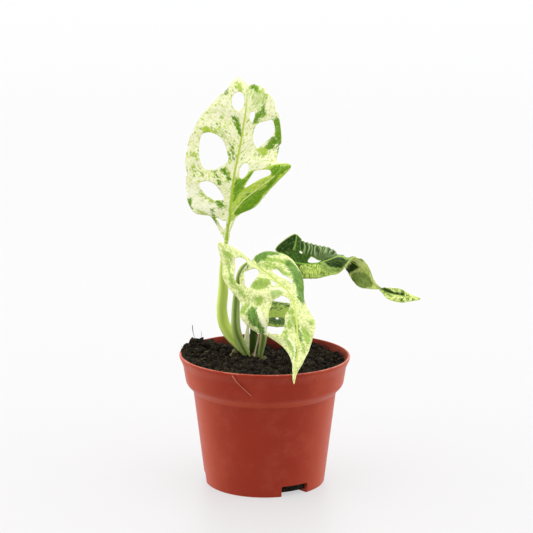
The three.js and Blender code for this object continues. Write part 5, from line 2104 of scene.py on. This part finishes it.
@dataclass
class Studio:
    """A pale floor, soft white light that is weaker from the front, and the camera."""

    camera_place: Point = (1.26, -1500.0, 507.0)
    camera_pitch: float = 13.2
    lens: float = 149.3
    floor_half: float = 9000.0
    floor_drop: float = 0.05
    front_light: float = 0.3
    side_light: float = 1.7
    sun_light: float = 0.5
    sun_spread: float = 70.0
    floor_glow: float = 0.555
    shown_light: float = 0.94

    def build(self) -> None:
        """Make the floor, the lights and the camera."""
        self.make_floor()
        self.make_world()
        self.make_sun("left_light", (-1.0, -0.35, 0.75))
        self.make_sun("right_light", (1.0, -0.35, 0.75))
        camera = link(bpy.data.objects.new("camera", bpy.data.cameras.new("camera")))
        camera.data.lens = self.lens
        camera.data.sensor_width = 36.0
        camera.data.clip_start, camera.data.clip_end = 0.05, 60.0
        camera.location = [value * MM for value in self.camera_place]
        camera.rotation_euler = (math.radians(90 - self.camera_pitch), 0, 0)
        bpy.context.scene.camera = camera
        bpy.context.scene.view_settings.view_transform = "Standard"

    def make_floor(self) -> None:
        """Make the plain pale floor."""
        made = MaterialMaker(
            "studio_floor", (0.8, 0.8, 0.8, 1.0), srgb(117, 115, 116), Roughness=0.5, Specular_IOR_Level=0.2,
            Emission_Color=(1.0, 1.0, 1.0, 1.0), Emission_Strength=self.floor_glow)
        graph = made.graph
        made.lay(srgb(119, 117, 118), graph.cloud(graph.local(), 1.3))
        away = graph.node("ShaderNodeVectorMath", {"operation": "LENGTH"}, graph.local()).outputs["Value"]
        made.lay(srgb(108, 108, 109), graph.ramp(away, 0.25, 1.6))
        graph.feed(made.shader.inputs["Base Color"], made.colour)
        corners = [(x * self.floor_half, y * self.floor_half, -self.floor_drop)
                   for x, y in ((-1, -1), (1, -1), (1, 1), (-1, 1))]
        make_piece("floor", np.array(corners), [(0, 1, 2, 3)], made.material)

    def make_world(self) -> None:
        """Fill the room with soft white light that is weaker from the front."""
        world = bpy.data.worlds.new("studio")
        world.use_nodes = True
        graph, back = Graph(world.node_tree), world.node_tree.nodes["Background"]
        _, away, up = graph.apart(graph.node("ShaderNodeTexCoord").outputs["Generated"])
        level = graph.ramp(graph.math("MULTIPLY_ADD", up, 0.7, away), -0.8, 0.1, self.front_light,
                           self.side_light)
        seen = graph.node("ShaderNodeLightPath").outputs["Is Camera Ray"]
        shown = graph.math("MULTIPLY", seen, self.shown_light)
        rest = graph.math("MULTIPLY", graph.math("SUBTRACT", 1.0, seen), level)
        back.inputs["Color"].default_value = (1.0, 1.0, 1.0, 1.0)
        graph.feed(back.inputs["Strength"], graph.math("ADD", shown, rest))
        bpy.context.scene.world = world

    def make_sun(self, name: str, place: Point) -> None:
        """Place one very soft distant light that shines towards the plant.

        Args:
            name: The light's name.
            place: The direction that it comes from.
        """
        light = bpy.data.lights.new(name, "SUN")
        light.energy = self.sun_light
        light.angle = math.radians(self.sun_spread)
        holder = link(bpy.data.objects.new(name, light))
        holder.location = place
        holder.rotation_euler = (-Vector(place)).to_track_quat("-Z", "Y").to_euler()


class PottedMonstera:
    """The plant in its pot, built piece by piece."""

    def __init__(self) -> None:
        """Make the node groups that the finishes share."""
        self.effects = SharedEffects()

    def build_leaves(self) -> None:
        """Make the four blades and the dry sheath."""
        tall = LeafFinish(
            "tall_leaf", ground=srgb(240, 240, 210), light=srgb(246, 245, 228), veil=srgb(206, 214, 108),
            grey=srgb(180, 204, 118), mid=srgb(176, 202, 50), deep=srgb(104, 148, 24),
            deepest=srgb(88, 134, 22),
            rib=srgb(190, 206, 78), rib_base=srgb(152, 184, 44), margin=srgb(206, 212, 128),
            underside=srgb(206, 216, 160), vein=srgb(218, 226, 140), dash=srgb(134, 168, 34),
            dash_amount=0.13,
            grey_share=0.5, vein_gap=8.0, vein_share=0.2, seed=1.0, calm=0.6, light_share=0.5)
        front = LeafFinish(
            "front_leaf", ground=srgb(225, 227, 174), light=srgb(236, 237, 206), veil=srgb(190, 204, 102),
            grey=srgb(142, 172, 96), mid=srgb(146, 176, 66), deep=srgb(100, 140, 54),
            deepest=srgb(80, 118, 46),
            rib=srgb(200, 208, 112), rib_base=srgb(174, 196, 78), margin=srgb(226, 226, 164),
            underside=srgb(190, 206, 140), vein=srgb(206, 218, 132), dash=srgb(120, 156, 60), vein_share=0.2,
            speck_amount=0.25, fleck_amount=0.3, dash_amount=0.12, blotch_amount=0.6, blotch_span=(0.42, 0.7),
            veil_amount=0.9, vein_gap=8.5, seed=4.0, mark_share=0.75, mark_size=(1.25, 1.25), mark_soft=0.34,
            tear=7.0, worn=0.55, patch_soft=0.8, light_share=0.55)
        # The side leaf's pale underside colour is partly its own and partly painted light, standing in for
        # light that shines through the thin blade.
        side = LeafFinish(
            "side_leaf", ground=srgb(44, 76, 18), light=srgb(194, 210, 104), veil=srgb(58, 92, 26),
            grey=srgb(82, 102, 58), mid=srgb(144, 168, 84), deep=srgb(40, 64, 22), deepest=srgb(28, 52, 12),
            rib=srgb(176, 198, 96), rib_base=srgb(96, 140, 40), margin=srgb(170, 192, 104),
            underside=srgb(234, 240, 168), vein=srgb(124, 154, 66), dash=srgb(70, 104, 30), speck_amount=0.3,
            fleck_amount=0.25, dash_amount=0.16, blotch_amount=0.12, blotch_span=(0.44, 0.66), calm=-2.4,
            under_share=0.75, mark_share=0.24, mark_soft=0.24, mark_size=(4.2, 0.7), tear=4.0, worn=0.3,
            patch_soft=0.6, streak=(0.2, 1.0, 1.0), thinness=0.75, vein_gap=9.0, vein_share=0.12, gloss=0.4,
            shine=0.04, seed=8.0, margin_reach=1.0, tip=srgb(226, 232, 156), tip_share=0.7, pleat_light_share=0.75)
        small = LeafFinish(
            "small_leaf", ground=srgb(186, 206, 100), light=srgb(214, 226, 140), veil=srgb(160, 188, 84),
            grey=srgb(120, 150, 96), mid=srgb(130, 164, 70), deep=srgb(88, 118, 66), deepest=srgb(70, 98, 66),
            rib=srgb(180, 202, 96), rib_base=srgb(150, 184, 70), margin=srgb(170, 190, 96),
            underside=srgb(160, 184, 92), vein=srgb(186, 206, 110), dash=srgb(88, 118, 66), vein_gap=5.0,
            seed=12.0)
        paper = DryFinish("papery_sheath", srgb(232, 230, 206), srgb(206, 214, 158), srgb(176, 176, 122), 0.3)
        wide, plain = {"vein_slope": 2.4}, {"crinkle": 0.12}
        for name, plan, finish, slot, node, sizes in (
            ("leaf_tall", TALL_LEAF, tall, "cream_leaf", "blade_tall", {"nibble": 1.8} | plain),
            ("leaf_front", FRONT_LEAF, front, "cream_leaf", "blade_front", wide | plain),
            ("leaf_side", SIDE_LEAF, side, "green_leaf", "blade_side", wide | {"crinkle": 0.4, "pleat": 1.1}),
            ("leaf_small", SMALL_LEAF, small, "cream_leaf", "blade_small", wide | plain),
            ("sheath_skin", SHEATH_LEAF, paper, "dry_sheath", "bud_sheath",
             {"thickness": 0.35, "spacing": 0.5, "crinkle": 0.2, "nibble": 0.1}),
        ):
            settle(LeafBlade(name, plan, finish.build(self.effects), **sizes).build(), slot, node)

    def build_stalks(self) -> None:
        """Make the four petioles and the creeping stem."""
        pale = StalkFinish("tall_petiole", foot=srgb(160, 184, 68), middle=srgb(204, 222, 104),
                           top=srgb(212, 224, 124),
                           streak=srgb(222, 232, 150), groove=srgb(148, 176, 64))
        banded = StalkFinish("front_petiole", foot=srgb(110, 134, 48), middle=srgb(160, 186, 92),
                             top=srgb(206, 218, 132), streak=srgb(196, 212, 132), groove=srgb(88, 120, 36),
                             groove_shade_share=0.75)
        dark = StalkFinish("side_petiole", foot=srgb(52, 76, 14), middle=srgb(58, 84, 20),
                           top=srgb(100, 140, 44),
                           streak=srgb(104, 132, 50), groove=srgb(40, 60, 12), streak_share=0.3)
        light = StalkFinish("small_petiole", foot=srgb(120, 146, 66), middle=srgb(150, 176, 88),
                            top=srgb(176, 198, 100), streak=srgb(196, 210, 140), groove=srgb(92, 118, 48))
        bark = StalkFinish("creeping_stem", foot=srgb(92, 66, 48), middle=srgb(96, 92, 44),
                           top=srgb(78, 84, 36),
                           streak=srgb(128, 112, 74), groove=srgb(54, 46, 30), streak_share=0.7, gloss=0.55)
        pale, banded, dark, light, bark = (look.build(self.effects)
                                           for look in (pale, banded, dark, light, bark))
        for stalk in (
            Stalk("stalk_tall", (
                (-11, 14.5, 80), (-13.5, 15, 88.5), (-17.5, 16.5, 93.5), (-24, 19.5, 100), (-29, 22.5, 108.5),
                (-30.5, 24, 119), (-29.5, 25, 132), (-29.5, 25, 148), (-28.5, 23.5, 160), (-26.9, 20, 169.6),
            ), (3, 3.2, 3.7, 4.2, 4.2, 3.8, 3.6, 2.6, 2, 1.5), pale, groove=0.16, wing=0.05, wing_end=0.45),
            Stalk("stalk_front", (
                (-11, 8.5, 80), (-13, 8, 89.5), (-16.5, 7.5, 97), (-20, 7, 107.5), (-20.5, 6.5, 118.5),
                (-20, 6, 129.5), (-19, 5.5, 138.5), (-18, 5.5, 146.5), (-16.2, 5.7, 152), (-13.2, 5.6, 155.6),
                (-9.6, 4.7, 156.8),
            ), (2.4, 2.6, 3, 3.3, 3, 2.6, 2.2, 1.9, 1.6, 1.2, 0.95), banded, groove=0.34, wing=0.12,
            wing_end=0.6),
            Stalk("stalk_side", (
                (-7.5, 18.5, 80), (-7.5, 19.5, 88), (-8, 21, 97), (-7.5, 22, 107), (-5.5, 23, 121),
                (-2, 24, 131.5),
                (1.5, 24, 141), (4.5, 23, 148.5), (9.5, 20.5, 153.5), (16.4, 17.9, 154.9),
            ), (2.6, 2.7, 2.7, 2.6, 2.2, 2, 1.8, 1.6, 1.5, 1.1), dark, groove=0.2),
            Stalk("stalk_small", (
                (-3.5, 9.5, 80), (-3, 9, 88.5), (-2, 8, 95), (-1, 6.5, 102), (-1, 4.5, 108.5),
                (-1.9, 2, 114.9),
            ), (1.5, 1.7, 2.3, 2.5, 1.8, 0.8), light, groove=0.3, wing=0.1, wing_end=0.9, steps=70),
        ):
            settle(stalk.build(), "petiole", stalk.name.replace("stalk", "petiole"))
        stem = Stalk("stem_creeping", (
            (-27, 8, 83), (-22, 8, 85.5), (-14, 11, 84.5), (-6, 12, 84), (0, 9, 82.5), (5, 6, 79.5),
        ), (3.2, 4.6, 4.4, 5, 4.6, 3.2), bark, knobs=(0.18, 0.4, 0.62, 0.85), rough=0.7, sides=36)
        settle(stem.build(), "stem", "stem")
        stub = Stalk("stem_stub", ((-19.5, 11, 85), (-20.6, 10.4, 88.5), (-21.4, 9.6, 91.4),
                                   (-21.6, 9.2, 93)),
                     (3, 2.7, 2.2, 1.2), bark, rough=0.9, sides=24, steps=40)
        settle(stub.build(), "stem")

    def build_strands(self) -> None:
        """Make the dry strand, the straw over the lip and the hairs on the heap."""
        husk = DryFinish("dry_husk", srgb(226, 208, 180), srgb(196, 176, 140), srgb(150, 110, 80), 0.2)
        straw = DryFinish("dry_straw", srgb(184, 112, 88), srgb(170, 100, 76), srgb(150, 84, 62), 0.1)
        dark = DryFinish("dark_hair", srgb(58, 52, 44), srgb(40, 36, 30), srgb(86, 78, 64), 0.0)
        strand = Strand(((-7.6, 4.5, 84), (-7, 5, 91.5), (-5.5, 4.5, 97.5), (-4.6, 3.2, 102.5),
                         (-4, 2.2, 106.5)),
                        (0.45, 0.5, 0.6, 0.5, 0.25), wander=0.25)
        fibre = Strand((
            (-22.1, -55.4, 92.3), (-21.4, -56.6, 91.4), (-18.5, -56.2, 87.1), (-13.7, -55.9, 82.3),
            (-9.1, -56.2, 77.9),
        ), (0.26, 0.28, 0.28, 0.26, 0.2), steps=80)
        hairs = (
            Strand(((-49, 14, 92), (-49.5, 14.5, 98), (-50.8, 15, 104), (-51.2, 15, 109)),
                   (0.24, 0.2, 0.2, 0.26), 0.3, 1.0, 5, 30),
            Strand(((-44.5, 17, 94), (-44.8, 17, 99.5), (-45.1, 17, 104)), (0.16, 0.14, 0.1), 0.2, 2.0, 5,
                   20),
            Strand(((-41, 16, 92), (-39.8, 15.6, 94), (-39.4, 15, 96)), (0.15, 0.13, 0.1), 0.3, 3.0, 5, 20),
            Strand(((-46, 12, 92), (-47.6, 11, 94.4), (-49.6, 10.6, 95.6)), (0.15, 0.13, 0.1), 0.3, 4.0, 5,
                   20),
        )
        for name, strands, finish, nodes in (
            ("strand_dry", [strand], husk, ["dry_strand"]),
            ("strand_straw", [fibre], straw, ["straw_fibre"]),
            ("heap_hairs", hairs, dark, []),
        ):
            shape = gather(strand.shape() for strand in strands)
            settle(make_piece(name, *shape, finish.build(self.effects)), "straw", *nodes)

    def build_pot(self) -> None:
        """Make the pot and the soil in it."""
        settle(NurseryPot(TerracottaFinish().build(self.effects)).build(), "terracotta", "pot")
        looks = (
            EarthFinish("damp_peat", srgb(14, 12, 9), srgb(50, 46, 34), srgb(100, 92, 68)),
            EarthFinish("peat_crumb", srgb(14, 11, 9), srgb(62, 53, 39), srgb(126, 114, 88), 800.0),
            EarthFinish("peat_fibre", srgb(54, 48, 32), srgb(112, 104, 74), srgb(160, 150, 116), 500.0, 0.5,
                        clod_scale=90.0),
            EarthFinish("pale_grain", srgb(150, 136, 112), srgb(206, 198, 178), srgb(230, 224, 208), 1200.0),
        )
        bed = SoilBed(*(look.build(self.effects) for look in looks))
        settle(bed.build(), "soil", "soil")
        for piece in bed.strewn():
            settle(piece, "soil")


def main() -> None:
    """Build the studio and the plant in order."""
    logging.basicConfig(level=logging.INFO, format="%(message)s")
    Studio().build()
    plant = PottedMonstera()
    plant.build_pot()
    plant.build_stalks()
    plant.build_strands()
    plant.build_leaves()


if __name__ == "__main__":
    main()
